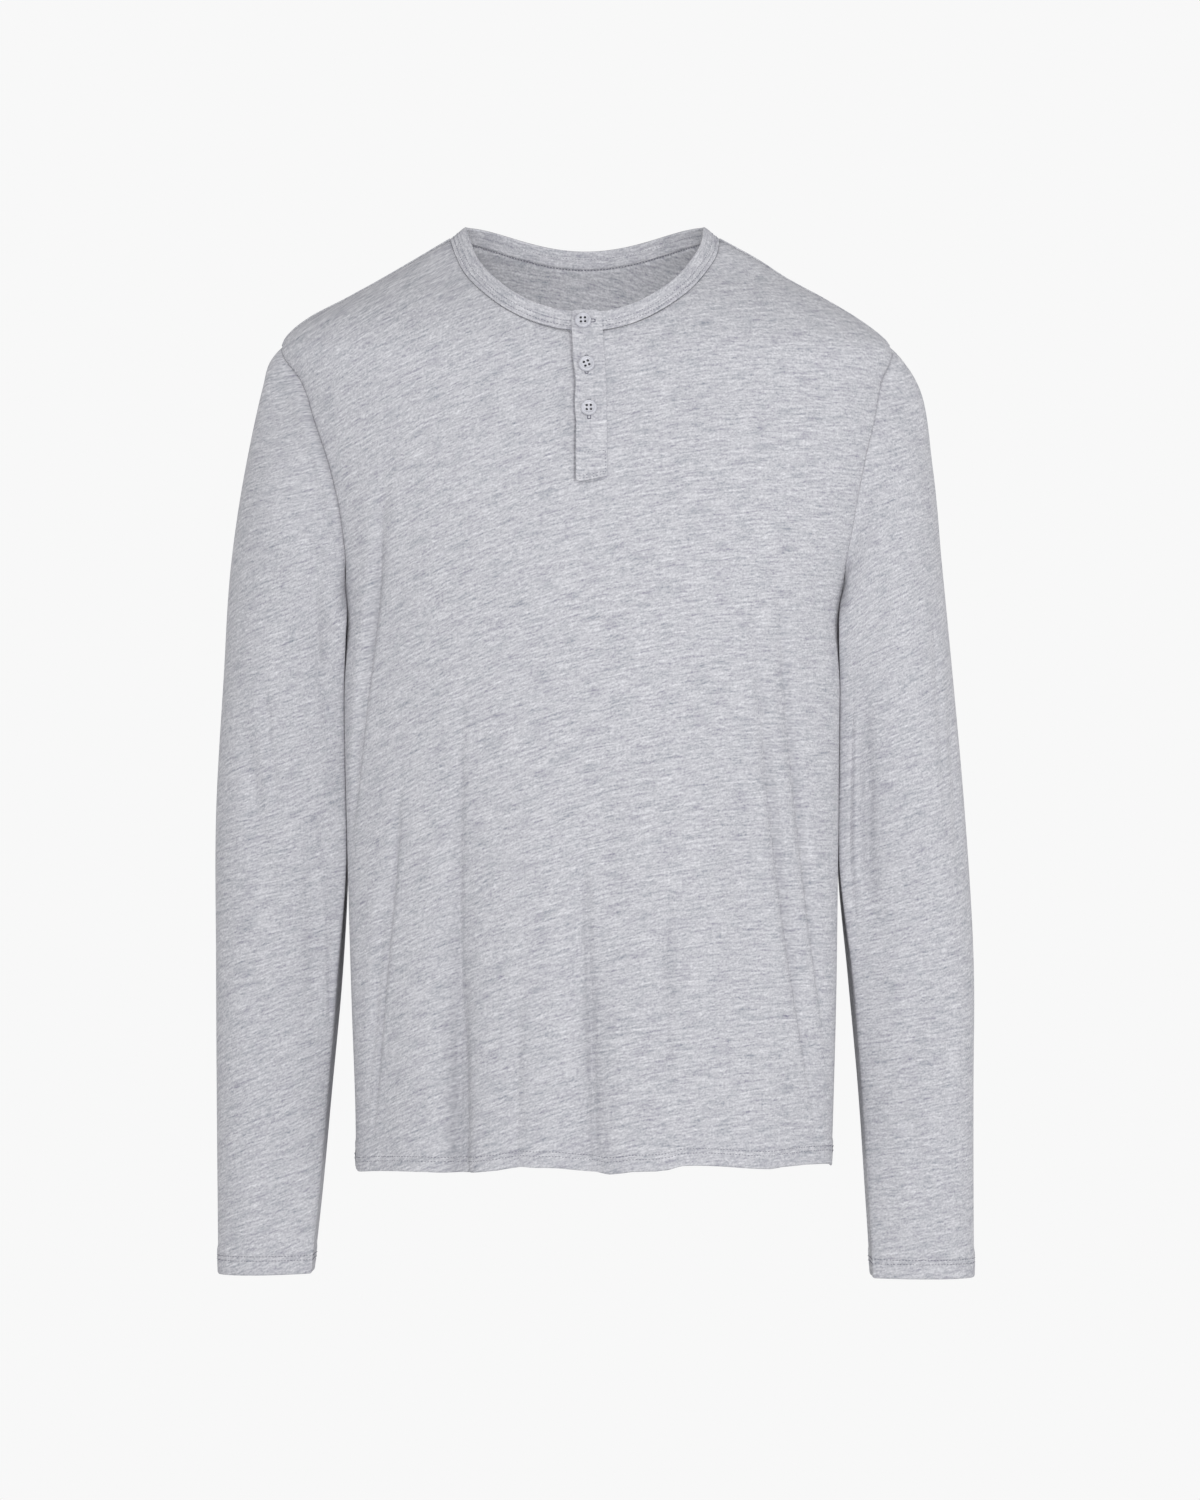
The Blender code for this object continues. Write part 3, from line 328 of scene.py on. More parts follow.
# Cross-sections of the trunk, hem to neck. right (-X) and left (+X) are half widths from the centre,
# front and back are depths from the side line, and square is how far the corners stand out of an
# ellipse.
TRUNK = table(
    "height centre right left front back side square",
    (-0.7600, 0.0050, 0.1770, 0.1770, 0.1260, 0.1035, 0.010, 0.040),
    (-0.7050, 0.0050, 0.1790, 0.1785, 0.1255, 0.1030, 0.010, 0.040),
    (-0.6500, 0.0046, 0.1795, 0.1806, 0.1240, 0.1010, 0.010, 0.040),
    (-0.5800, 0.0040, 0.1814, 0.1831, 0.1225, 0.0980, 0.010, 0.045),
    (-0.4500, 0.0035, 0.1845, 0.1853, 0.1235, 0.0950, 0.010, 0.050),
    (-0.3450, 0.0030, 0.1860, 0.1870, 0.1280, 0.1010, 0.010, 0.050),
    (-0.2680, 0.0025, 0.1848, 0.1895, 0.1300, 0.1080, 0.010, 0.050),
    (-0.2450, 0.0023, 0.1885, 0.1970, 0.1285, 0.1095, 0.010, 0.050),
    (-0.2150, 0.0021, 0.2000, 0.2120, 0.1245, 0.1105, 0.009, 0.050),
    (-0.1800, 0.0018, 0.2140, 0.2260, 0.1180, 0.1095, 0.008, 0.050),
    (-0.1450, 0.0010, 0.2220, 0.2320, 0.1090, 0.1050, 0.006, 0.050),
    (-0.1100, 0.0000, 0.2225, 0.2290, 0.0985, 0.0985, 0.005, 0.050),
    (-0.0800, -0.0008, 0.2295, 0.2285, 0.0870, 0.0895, 0.003, 0.045),
    (-0.0700, -0.0010, 0.2222, 0.2180, 0.0818, 0.0862, 0.003, 0.040),
    (-0.0600, -0.0012, 0.2090, 0.2040, 0.0750, 0.0815, 0.002, 0.035),
    (-0.0450, -0.0015, 0.1800, 0.1790, 0.0625, 0.0745, 0.001, 0.030),
    (-0.0300, -0.0017, 0.1526, 0.1516, 0.0480, 0.0660, 0.001, 0.020),
    (-0.0150, -0.0019, 0.1264, 0.1284, 0.0340, 0.0560, 0.000, 0.010),
    (0.0000, -0.0020, 0.1010, 0.1010, 0.0200, 0.0420, 0.000, 0.000),
    (0.0100, -0.0020, 0.0830, 0.0830, 0.0110, 0.0320, 0.000, 0.000),
)

# Folds of the trunk, each a soft valley (push below 0) or ridge (push above 0) from one point to
# another as seen from in front, bowed sideways by bow in the middle. Wide ones come first, and then
# the finer creases on them.
FOLD_COLUMNS = "start_x start_z end_x end_z bow width push"
FRONT_FOLDS = table(
    FOLD_COLUMNS,
    (-0.138, -0.205, -0.174, -0.470, -0.006, 0.0090, -0.0042),
    (-0.130, -0.420, -0.158, -0.655, -0.004, 0.0080, -0.0036),
    (-0.086, -0.350, -0.092, -0.860, -0.006, 0.0110, -0.0052),
    (-0.049, -0.540, -0.054, -0.840, 0.000, 0.0090, -0.0016),
    (-0.006, -0.460, 0.012, -0.860, -0.003, 0.0100, -0.0042),
    (0.0590, -0.500, 0.058, -0.640, 0.002, 0.0080, -0.0022),
    (0.0780, -0.270, 0.123, -0.575, 0.000, 0.0150, -0.0032),
    (0.1120, -0.270, 0.172, -0.665, -0.007, 0.0080, -0.0040),
    (0.1270, -0.235, 0.182, -0.635, -0.004, 0.0075, -0.0034),
    (-0.039, -0.300, -0.036, -0.900, 0.000, 0.0300, 0.0040),
    (0.0530, -0.330, 0.048, -0.900, 0.004, 0.0320, 0.0038),
    (-0.125, -0.480, -0.128, -0.860, 0.000, 0.0200, 0.0026),
    (0.1280, -0.560, 0.124, -0.860, 0.000, 0.0200, 0.0024),
    (-0.1380, -0.150, -0.1661, -0.390, -0.0001, 0.0055, -0.0036),
    (-0.1454, -0.200, -0.1740, -0.460, 0.0024, 0.0026, -0.0028),
    (-0.1284, -0.370, -0.1584, -0.700, 0.0011, 0.0027, -0.0036),
    (-0.0876, -0.290, -0.0952, -0.680, -0.0008, 0.0031, -0.0036),
    (-0.0952, -0.560, -0.0982, -0.800, 0.0000, 0.0026, -0.0042),
    (-0.0900, -0.530, -0.0866, -0.800, 0.0000, 0.0026, -0.0040),
    (-0.0893, -0.480, -0.0938, -0.800, 0.0000, 0.0100, -0.0050),
    (-0.0945, -0.560, -0.0920, -0.820, 0.0000, 0.0065, -0.0048),
    (-0.0490, -0.530, -0.0501, -0.720, 0.0000, 0.0026, -0.0024),
    (-0.0046, -0.410, 0.0094, -0.760, 0.0004, 0.0029, -0.0042),
    (0.0020, -0.510, 0.0079, -0.760, 0.0000, 0.0110, -0.0050),
    (0.0592, -0.460, 0.0603, -0.680, -0.0011, 0.0026, -0.0032),
    (0.1310, -0.210, 0.1785, -0.640, -0.0046, 0.0026, -0.0036),
    (0.1154, -0.230, 0.1739, -0.710, -0.0083, 0.0027, -0.0042),
    (0.0916, -0.270, 0.1215, -0.580, 0.0000, 0.0120, -0.0036),
    (0.0094, -0.400, 0.0152, -0.500, 0.0000, 0.0080, -0.0012),
    (-0.0620, -0.130, -0.1000, -0.200, 0.0000, 0.0180, 0.0012),
    (0.0640, -0.120, 0.1100, -0.190, 0.0000, 0.0180, 0.0010),
)
BACK_FOLDS = table(
    FOLD_COLUMNS,
    (0.1400, -0.210, 0.171, -0.490, 0.006, 0.0100, -0.0042),
    (0.1180, -0.330, 0.150, -0.640, 0.004, 0.0090, -0.0034),
    (0.0800, -0.350, 0.092, -0.860, 0.005, 0.0120, -0.0050),
    (0.0050, -0.420, -0.010, -0.860, 0.003, 0.0130, -0.0046),
    (-0.072, -0.380, -0.088, -0.860, -0.003, 0.0120, -0.0050),
    (-0.112, -0.260, -0.160, -0.640, 0.006, 0.0090, -0.0040),
    (-0.132, -0.225, -0.176, -0.560, 0.004, 0.0080, -0.0032),
    (0.0420, -0.320, 0.044, -0.900, 0.000, 0.0300, 0.0042),
    (-0.042, -0.340, -0.046, -0.900, 0.000, 0.0300, 0.0042),
    (0.1520, -0.280, 0.165, -0.430, 0.002, 0.0050, -0.0016),
    (0.1280, -0.240, 0.104, -0.350, 0.003, 0.0060, -0.0012),
    (0.0890, -0.560, 0.094, -0.800, 0.002, 0.0045, -0.0018),
    (0.0560, -0.500, 0.058, -0.700, 0.000, 0.0055, -0.0012),
    (-0.004, -0.600, -0.012, -0.800, 0.001, 0.0045, -0.0018),
    (-0.030, -0.480, -0.034, -0.640, 0.002, 0.0060, -0.0012),
    (-0.094, -0.560, -0.098, -0.800, 0.000, 0.0045, -0.0016),
    (-0.120, -0.300, -0.150, -0.460, 0.004, 0.0055, -0.0014),
    (-0.148, -0.480, -0.166, -0.680, 0.002, 0.0050, -0.0014),
)

# Each sleeve ring passes an outer and an inner point, and reaches depth to the front and back of
# middle_y. x is counted outwards from the centre of the shirt. The first row is the armhole.
SLEEVE_COLUMNS = "along outer_x outer_y outer_z inner_x inner_y inner_z middle_y depth"
RIGHT_SLEEVE = table(
    SLEEVE_COLUMNS,
    (0.00, 0.2303, 0.003, -0.080, 0.1823, 0.010, -0.268, 0.006, 0.0640),
    (0.02, 0.2382, 0.004, -0.090, 0.1834, 0.012, -0.273, 0.008, 0.0645),
    (0.06, 0.2444, 0.005, -0.110, 0.1825, 0.016, -0.281, 0.011, 0.0655),
    (0.14, 0.2582, 0.010, -0.172, 0.1829, 0.026, -0.304, 0.018, 0.0655),
    (0.24, 0.2693, 0.014, -0.244, 0.1843, 0.036, -0.340, 0.026, 0.0640),
    (0.36, 0.2753, 0.018, -0.330, 0.1839, 0.044, -0.396, 0.031, 0.0600),
    (0.50, 0.2812, 0.020, -0.432, 0.1830, 0.046, -0.470, 0.033, 0.0540),
    (0.66, 0.2807, 0.012, -0.546, 0.1872, 0.034, -0.560, 0.023, 0.0470),
    (0.80, 0.2794, 0.000, -0.642, 0.1942, 0.014, -0.645, 0.007, 0.0395),
    (0.92, 0.2780, -0.010, -0.722, 0.2006, -0.004, -0.722, -0.007, 0.0320),
    (1.00, 0.2772, -0.014, -0.7785, 0.2064, -0.010, -0.7765, -0.012, 0.0275),
)
LEFT_SLEEVE = table(
    SLEEVE_COLUMNS,
    (0.00, 0.2277, 0.003, -0.080, 0.1920, 0.010, -0.268, 0.006, 0.0640),
    (0.02, 0.2366, 0.004, -0.090, 0.1919, 0.012, -0.273, 0.008, 0.0645),
    (0.06, 0.2490, 0.005, -0.110, 0.1908, 0.016, -0.281, 0.011, 0.0655),
    (0.14, 0.2605, 0.010, -0.172, 0.1903, 0.026, -0.304, 0.018, 0.0655),
    (0.24, 0.2677, 0.014, -0.244, 0.1914, 0.036, -0.340, 0.026, 0.0640),
    (0.36, 0.2763, 0.018, -0.330, 0.1912, 0.044, -0.396, 0.031, 0.0600),
    (0.50, 0.2855, 0.020, -0.432, 0.1910, 0.046, -0.470, 0.033, 0.0540),
    (0.66, 0.2918, 0.012, -0.547, 0.1988, 0.034, -0.561, 0.023, 0.0470),
    (0.80, 0.2908, 0.000, -0.643, 0.2056, 0.014, -0.646, 0.007, 0.0395),
    (0.92, 0.2902, -0.010, -0.724, 0.2100, -0.004, -0.724, -0.007, 0.0320),
    (1.00, 0.2903, -0.014, -0.781, 0.2134, -0.010, -0.780, -0.012, 0.0275),
)

# Folds of the sleeves, from one place along and turn (degrees) to another, in the same order.
SLEEVE_FOLD_COLUMNS = "start_along start_turn end_along end_turn width push"
RIGHT_SLEEVE_FOLDS = table(
    SLEEVE_FOLD_COLUMNS,
    (0.05, 108.0, 0.30, 132.0, 0.0110, -0.0040),
    (0.36, 52.0, 0.62, 92.0, 0.0100, -0.0034),
    (0.46, 118.0, 0.74, 132.0, 0.0090, -0.0030),
    (0.40, 215.0, 0.60, 285.0, 0.0120, -0.0040),
    (0.50, 235.0, 0.68, 300.0, 0.0110, -0.0034),
    (0.62, 60.0, 0.86, 100.0, 0.0100, -0.0022),
    (0.80, 200.0, 0.96, 250.0, 0.0090, -0.0020),
    (0.30, 70.0, 0.52, 95.0, 0.0045, -0.0022),
    (0.115, 52.0, 0.075, 150.0, 0.0032, -0.0016),
    (0.44, 128.0, 0.74, 158.0, 0.0040, -0.0020),
    (0.16, 120.0, 0.36, 142.0, 0.0040, -0.0016),
    (0.66, 84.0, 0.90, 106.0, 0.0050, -0.0014),
    (0.34, 238.0, 0.60, 262.0, 0.0050, -0.0016),
)
LEFT_SLEEVE_FOLDS = table(
    SLEEVE_FOLD_COLUMNS,
    (0.26, 128.0, 0.62, 126.0, 0.0085, -0.0050),
    (0.34, 28.0, 0.58, 36.0, 0.0080, -0.0022),
    (0.56, 64.0, 0.80, 104.0, 0.0110, -0.0026),
    (0.38, 222.0, 0.60, 290.0, 0.0120, -0.0040),
    (0.48, 205.0, 0.66, 262.0, 0.0110, -0.0034),
    (0.10, 250.0, 0.34, 228.0, 0.0120, -0.0036),
    (0.78, 110.0, 0.95, 80.0, 0.0090, -0.0020),
    (0.24, 144.0, 0.62, 149.0, 0.0028, -0.0026),
    (0.22, 44.0, 0.56, 49.0, 0.0050, -0.0016),
    (0.36, 118.0, 0.54, 127.0, 0.0040, -0.0014),
    (0.62, 52.0, 0.90, 66.0, 0.0050, -0.0014),
    (0.30, 232.0, 0.56, 262.0, 0.0050, -0.0016),
)
SLEEVES = {
    "left": (1, LEFT_SLEEVE, LEFT_SLEEVE_FOLDS),
    "right": (-1, RIGHT_SLEEVE, RIGHT_SLEEVE_FOLDS),
}


# The hem's small dips and rises: across the front, as HEM_HALF_WIDTH times the sine of the
# bearing, and how much higher the edge is there
HEM_DETAIL = (
    (-0.178, -0.150, -0.132, -0.118, -0.087, -0.069, -0.052, -0.043, -0.026, 0.0, 0.0095,
     0.027, 0.0445, 0.0533, 0.0621, 0.0974, 0.1242, 0.1332, 0.1514, 0.178),
    (-0.0027, -0.0014, -0.0002, 0.0002, -0.0015, -0.0015, 0.0003, -0.0004, 0.0005, -0.0002, -0.0018,
     -0.0006, -0.0020, -0.0017, 0.0006, 0.0014, 0.0015, 0.0029, 0.0034, 0.0030),
)

# Slant of the courses, in radians and in radians for each metre across the panel: they rise
# towards the wearer's left by the first, less the second times the place.
FRONT_SLANT = (math.radians(14.5), math.radians(85))
BACK_SLANT = (math.radians(11.0), math.radians(60))
SLEEVE_SLANT = {  # depth below the origin, and the slope there
    "left": (
        (0.10, 0.21, 0.27, 0.35, 0.43, 0.50, 0.58, 0.75),
        np.radians((12, 12, 19, 17, 17, 16, 9, 9)),
    ),
    "right": (
        (0.10, 0.21, 0.27, 0.35, 0.42, 0.50, 0.58, 0.65, 0.75),
        np.radians((13, 8, 17, 14, 18, 12, 20, 23, 18)),
    ),
}


# ---- Reading the tables -------------------------------------------------------------------------


def between(rows, column, at):
    """A column's value between its rows, on a smooth curve through them."""
    places, values = rows[next(iter(rows))], rows[column]
    slopes = np.gradient(values, places)
    low = np.clip(np.searchsorted(places, at) - 1, 0, len(places) - 2)
    step = places[low + 1] - places[low]
    share = np.clip((at - places[low]) / step, 0.0, 1.0)
    rest = 1.0 - share
    start, end = values[low], values[low + 1]
    lean = share * rest * (rest * slopes[low] - share * slopes[low + 1]) * step
    return start * rest**2 * (1 + 2 * share) + end * share**2 * (1 + 2 * rest) + lean


def trunk(column, height):
    return between(TRUNK, column, height)


def ramp(at, start, end):
    """0 at start and before it, 1 at end and beyond it, soft at both. start may be the higher."""
    share = np.clip((at - start) / (end - start), 0.0, 1.0)
    return share * share * (3 - 2 * share)


def fading(share):
    """1 along the middle of a fold, dying away to 0 at both its ends."""
    return ramp(share, 0, FOLD_FADE) * ramp(share, 1, 1 - FOLD_FADE)


def bell(distance, width):
    """1 at a distance of 0, less away from it: e to the power of -(distance / width) squared."""
    return np.exp(-((distance / width) ** 2))


def half_turn(angle):
    """The same angle between -pi and pi."""
    return (angle + math.pi) % (2 * math.pi) - math.pi


def unit(vectors):
    return vectors / np.linalg.norm(vectors, axis=-1, keepdims=True)


def outward(surface, first, second):
    """Unit normals of a surface of two parameters, on the side that first x second points to."""
    along_first = surface(first + STEP, second) - surface(first - STEP, second)
    along_second = surface(first, second + STEP) - surface(first, second - STEP)
    return unit(np.cross(along_first, along_second))


# ---- Trunk --------------------------------------------------------------------------------------


def body_form(bearing, height):
    """The trunk without folds."""
    across, ahead = np.sin(bearing), np.cos(bearing)
    half = np.where(across > 0, trunk("left", height), trunk("right", height))
    depth = np.where(ahead > 0, trunk("front", height), trunk("back", height))
    swell = 1 + trunk("square", height) * np.sin(2 * bearing) ** 2
    forward = trunk_flank(bearing, height)
    x = trunk("centre", height) + half * across * swell
    x = x - np.sign(across) * CORNER_NARROWING * np.abs(forward)
    y = trunk("side", height) - depth * ahead * swell
    return np.stack(np.broadcast_arrays(x, y - forward, height), axis=-1)


def trunk_flank(bearing, height):
    """How much squarer the trunk is beside its side seams: how far it stands forwards in front of
    them, and backwards behind them. Along the seams themselves it is 0."""
    from_front = np.abs(half_turn(bearing))
    from_seam = np.abs(from_front - math.pi / 2)
    corner = bell(from_seam, CORNER_WIDTH) * (1 - bell(from_seam, CORNER_TURN))
    depth = np.where(from_front < math.pi / 2, CORNER_DEPTH, -CORNER_DEPTH_BACK)
    return depth * corner * ramp(height, *CORNER_HEIGHTS)


def bearing_of(x, height, behind=False):
    """Bearing of the point that is seen at x and height, on the front or the back."""
    offset = x - trunk("centre", height)
    half = np.where(offset > 0, trunk("left", height), trunk("right", height))
    bearing = np.arcsin(np.clip(offset / half, -1, 1))
    return math.pi - bearing if behind else bearing


def body_push(bearing, height):
    """How far the folds move the trunk outwards."""
    push = np.zeros(np.broadcast(bearing, height).shape)
    for folds, behind in ((FRONT_FOLDS, False), (BACK_FOLDS, True)):
        edge = -FACING_EDGE if behind else FACING_EDGE
        facing = ramp(np.cos(bearing), -edge, edge)
        for start_x, start_z, end_x, end_z, bow, width, depth in zip(*folds.values()):
            share = (start_z - height) / (start_z - end_z)
            x = start_x + (end_x - start_x) * share + 4 * bow * share * (1 - share)
            offset = GIRTH_RADIUS * half_turn(bearing - bearing_of(x, height, behind))
            push = push + depth * fading(share) * facing * bell(offset, width)
    return push + hem_pucker(GIRTH_RADIUS * bearing, height - hem_height(bearing))


def hem_pucker(around, above_edge):
    """The small puckers between a hem's stitches: waves of two lengths along the hem, strongest
    half way up it and gone above it."""
    first, second = (around * turns for turns in RIPPLE_TURNS)
    wave = np.sin(first + 2 * np.sin(around * RIPPLE_DRIFT)) + 0.8 * np.sin(second + 1.0)
    return RIPPLE * wave * bell(above_edge - RIPPLE_MIDDLE, RIPPLE_REACH)


def body_cloth(bearing, height):
    """The middle of the trunk's wall."""
    lift = body_push(bearing, height)[..., None]
    return body_form(bearing, height) + lift * outward(body_form, bearing, height)


def hem_height(bearing):
    """The bottom edge: raised in the middle of the front, and a little wavy all round."""
    ahead = np.clip(np.cos(bearing), 0, None)
    x = HEM_HALF_WIDTH * np.sin(bearing)
    wave = HEM_WAVE * np.cos(2 * math.pi * (x - HEM_WAVE_CREST) / HEM_WAVE_LENGTH)
    detail = np.interp(x, *HEM_DETAIL) * ramp(np.cos(bearing), 0, HEM_DETAIL_END)
    return HEM_HEIGHT + HEM_TILT * x + HEM_FRONT_RISE * ahead**2 + wave * ahead + detail


# ---- Panels of the trunk ------------------------------------------------------------------------


def flat_place(bearing, height):
    """A place on the trunk laid out flat. Across, it is close to what is seen from in front, but
    does not crowd at the side seams. bearing is counted from the middle of the panel."""
    across = np.sin(bearing * FLATNESS) / math.sin(math.pi / 2 * FLATNESS)
    return np.stack((half_width(height) * across, height), axis=-1)


def on_trunk(place):
    """Bearing and height of a flat place."""
    across = place[..., 0] / half_width(place[..., 1]) * math.sin(math.pi / 2 * FLATNESS)
    return np.arcsin(np.clip(across, -1, 1)) / FLATNESS, place[..., 1]


def half_width(height):
    return (trunk("left", height) + trunk("right", height)) / 2


def neckline(place, behind):
    """Bearing from the panel's middle and height of the neck seam; place is -1 to 1 across it."""
    turn = place * math.pi / 2
    if behind:
        height = -NECK_DROP_BACK * np.abs(np.cos(turn)) ** NECK_SHAPE_BACK
    else:
        height = -NECK_DROP_FRONT * np.abs(np.cos(turn)) ** NECK_SHAPE_FRONT
    across = half_width(0.0) * np.sin(turn) / half_width(height)
    return np.arcsin(np.clip(across, -1, 1)), height


def panel_side(share, behind):
    """Side seam, then armhole: bearing from the panel's middle and height, share 0 to 1 up it."""
    scoop = ARMHOLE_SCOOP_BACK if behind else ARMHOLE_SCOOP_FRONT
    hem = hem_height(math.pi / 2)
    rise = np.clip(share / UNDERARM_SHARE, 0, 1)
    climb = np.clip((share - UNDERARM_SHARE) / (1 - UNDERARM_SHARE), 0, 1)
    climb = (climb + (1 - np.cos(math.pi * climb)) / 2) / 2
    bearing = math.pi / 2 - scoop * np.clip(np.sin(math.pi * climb), 0, 1) ** ARMHOLE_ROUNDNESS
    height = hem + (UNDERARM_HEIGHT - hem) * rise
    return bearing, height + (SHOULDER_HEIGHT - UNDERARM_HEIGHT) * climb


def neck_share(behind):
    """Share of a panel's top edge that is neckline."""
    neck = NECK_COLUMNS_BACK if behind else NECK_COLUMNS_FRONT
    return neck / (neck + 2 * SHOULDER_COLUMNS)


def panel_top(share, behind):
    """Shoulder seam, neckline, shoulder seam, with share 0 to 1 along them."""
    neck = neck_share(behind)
    bearing, height = neckline(np.clip((share - 0.5) / neck * 2, -1, 1), behind)
    outside = np.minimum(share, 1 - share) / (1 - neck) * 2
    on_seam = outside < 1
    bearing = np.where(on_seam, np.sign(share - 0.5) * math.pi / 2, bearing)
    return bearing, np.where(on_seam, SHOULDER_HEIGHT * (1 - outside), height)


def spread(u, v, behind):
    """Flat places spread evenly between a panel's four edges; u is across it and v is up it."""
    middle = math.pi if behind else 0.0
    bearing = (u - 0.5) * math.pi
    bottom = flat_place(bearing, hem_height(middle + bearing))
    top = flat_place(*panel_top(u, behind))
    bearing, height = panel_side(v, behind)
    left, right = flat_place(-bearing, height), flat_place(bearing, height)
    u, v = u[None, :, None], v[:, None, None]
    places = (1 - v) * bottom[None] + v * top[None] + (1 - u) * left[:, None] + u * right[:, None]
    places -= (1 - v) * ((1 - u) * bottom[0] + u * bottom[-1])
    return places - v * ((1 - u) * top[0] + u * top[-1])


def settled(places):
    """A grid of places moved until its lines are smooth and run across each other."""
    places = places.copy()
    for _ in range(SETTLING_STEPS):
        right, left = places[1:-1, 2:], places[1:-1, :-2]
        above, below = places[2:, 1:-1], places[:-2, 1:-1]
        across, up = (right - left) / 2, (above - below) / 2
        twist = (places[2:, 2:] - places[2:, :-2] - places[:-2, 2:] + places[:-2, :-2]) / 4
        wide = np.sum(across**2, axis=-1, keepdims=True)
        high = np.sum(up**2, axis=-1, keepdims=True)
        skew = np.sum(across * up, axis=-1, keepdims=True)
        moved = high * (right + left) + wide * (above + below) - 2 * skew * twist
        places[1:-1, 1:-1] = moved / (2 * (wide + high))
    return places


def panel_plan(u, v, behind):
    """Bearings and heights of a panel's points; u is 0 to 1 across it and v is 0 to 1 up it.

    The points are spread between the edges and moved as those of a coarse grid settle.
    """
    coarse_u, coarse_v = np.linspace(0, 1, SETTLING_GRID), np.linspace(0, 1, SETTLING_GRID)
    coarse = spread(coarse_u, coarse_v, behind)
    moves = settled(coarse) - coarse
    across = np.stack([[np.interp(u, coarse_u, row) for row in moves[..., i]] for i in (0, 1)])
    moves = np.stack([[np.interp(v, coarse_v, line) for line in part.T] for part in across])
    bearing, height = on_trunk(spread(u, v, behind) + moves.transpose(2, 1, 0))
    return bearing + (math.pi if behind else 0.0), height


# ---- Sleeves ------------------------------------------------------------------------------------


def sleeve_ring(rows, along, turn):
    """A sleeve without folds or armhole, with x counted outwards."""
    outer, inner = (
        np.stack([between(rows, end + axis, along) for axis in "xyz"], axis=-1)
        for end in ("outer_", "inner_")
    )
    middle, reach = (outer + inner) / 2, (outer - inner) / 2
    shift = (between(rows, "middle_y", along) - middle[..., 1]) * np.sin(turn) ** 2
    inwards, forwards = sleeve_flank(along, turn)
    ring = middle + reach * np.cos(turn)[..., None]
    ring[..., 0] -= inwards
    ring[..., 1] += shift - between(rows, "depth", along) * np.sin(turn) - forwards
    return ring


def sleeve_flank(along, turn):
    """How far a sleeve's corner, where it lies against the side of the trunk, stands inwards and
    forwards of its ring."""
    from_crest = half_turn(turn - FLANK_TURN)
    width, power, hook_width = (
        np.where(from_crest < 0, *pair) for pair in (FLANK_WIDTHS, FLANK_POWERS, FLANK_HOOK_WIDTHS)
    )
    inwards = FLANK_HOOK * ramp(along, *FLANK_HOOK_GROWS) * (1 - ramp(along, *FLANK_HOOK_ENDS))
    forwards = FLANK_DEPTH * ramp(along, *FLANK_GROWS)
    forwards = forwards * (1 - FLANK_SHRINKAGE * ramp(along, *FLANK_SHRINKS))
    profile = np.exp(-(np.abs(from_crest / width) ** power))
    return inwards * bell(from_crest, hook_width), forwards * profile


def armhole_bearing(side, turn):
    """Bearing and height of the armhole, where the sleeve at side (1 or -1) meets the trunk."""
    turn = turn % (2 * math.pi)
    share = UNDERARM_SHARE + (1 - UNDERARM_SHARE) * np.abs(1 - turn / math.pi)
    front, height = panel_side(share, False)
    back, height = panel_side(share, True)
    return side * np.where(turn > math.pi, math.pi - back, front), height


def sleeve_push(folds, along, turn):
    """How far the folds move a sleeve outwards."""
    push = np.zeros(np.broadcast(along, turn).shape)
    for start_along, start_turn, end_along, end_turn, width, depth in zip(*folds.values()):
        down = (end_along - start_along) * SLEEVE_LENGTH
        round_arm = math.radians(end_turn - start_turn) * SLEEVE_RADIUS
        length = math.hypot(down, round_arm)
        from_down = (along - (start_along + end_along) / 2) * SLEEVE_LENGTH
        from_round = half_turn(turn - math.radians(start_turn + end_turn) / 2) * SLEEVE_RADIUS
        share = 0.5 + (from_down * down + from_round * round_arm) / length**2
        offset = (from_round * down - from_down * round_arm) / length
        push = push + depth * fading(share) * bell(offset, width)
    return push + hem_pucker(SLEEVE_RADIUS * turn, (1 - along) * SLEEVE_LENGTH)


def sleeve_form(name, turn, along):
    """A sleeve without folds: its rings, moved at the armhole so that they begin on its curve."""
    side, rows, _ = SLEEVES[name]
    start = sleeve_ring(rows, np.zeros(np.shape(turn)), turn)
    armhole = body_cloth(*armhole_bearing(side, turn)) * (side, 1, 1)
    fit = (armhole - start) * ramp(along, ARMHOLE_REACH, 0)[..., None]
    turn, along = np.broadcast_arrays(turn, along)
    return (sleeve_ring(rows, along, turn) + fit) * (side, 1, 1)


def sleeve_outward(name, turn, along):
    side = SLEEVES[name][0]
    return side * outward(lambda t, a: sleeve_form(name, t, a), turn, along)


def sleeve_cloth(name, turn, along):
    """The middle of a sleeve's wall."""
    lift = sleeve_push(SLEEVES[name][2], along, turn)[..., None]
    return sleeve_form(name, turn, along) + lift * sleeve_outward(name, turn, along)


# ---- Neck band and placket ----------------------------------------------------------------------


def neck_bearing(place):
    """Bearing and height of the neck seam. place is 0 in the middle of the front, 1 at the wearer's
    left shoulder seam, 2 in the middle of the back and 3 at the right shoulder seam."""
    place = (place + 2) % 4 - 2
    behind = np.abs(place) > 1
    front, front_height = neckline(np.clip(place, -1, 1), False)
    back_place = np.sign(place) * (2 - np.abs(place))
    back, back_height = neckline(np.clip(back_place, -1, 1), True)
    return np.where(behind, math.pi - back, front), np.where(behind, back_height, front_height)


def neck_seam(place):
    return body_cloth(*neck_bearing(place))


def band_up(place):
    """The direction in which the band stands up from its seam."""
    inwards = neck_seam(place) * (-1, -1, 0) + (NECK_CENTRE_X, NECK_CENTRE_Y, 0)
    lean = BAND_LEAN_ENDS + (BAND_LEAN_SIDE - BAND_LEAN_ENDS) * np.sin(place * math.pi / 2) ** 2
    return np.cos(lean)[..., None] * (0, 0, 1) + np.sin(lean)[..., None] * unit(inwards)


def band_cloth(place, rise):
    """The middle of the neck band's wall, at a distance above its seam."""
    return neck_seam(place) + rise[..., None] * band_up(place)


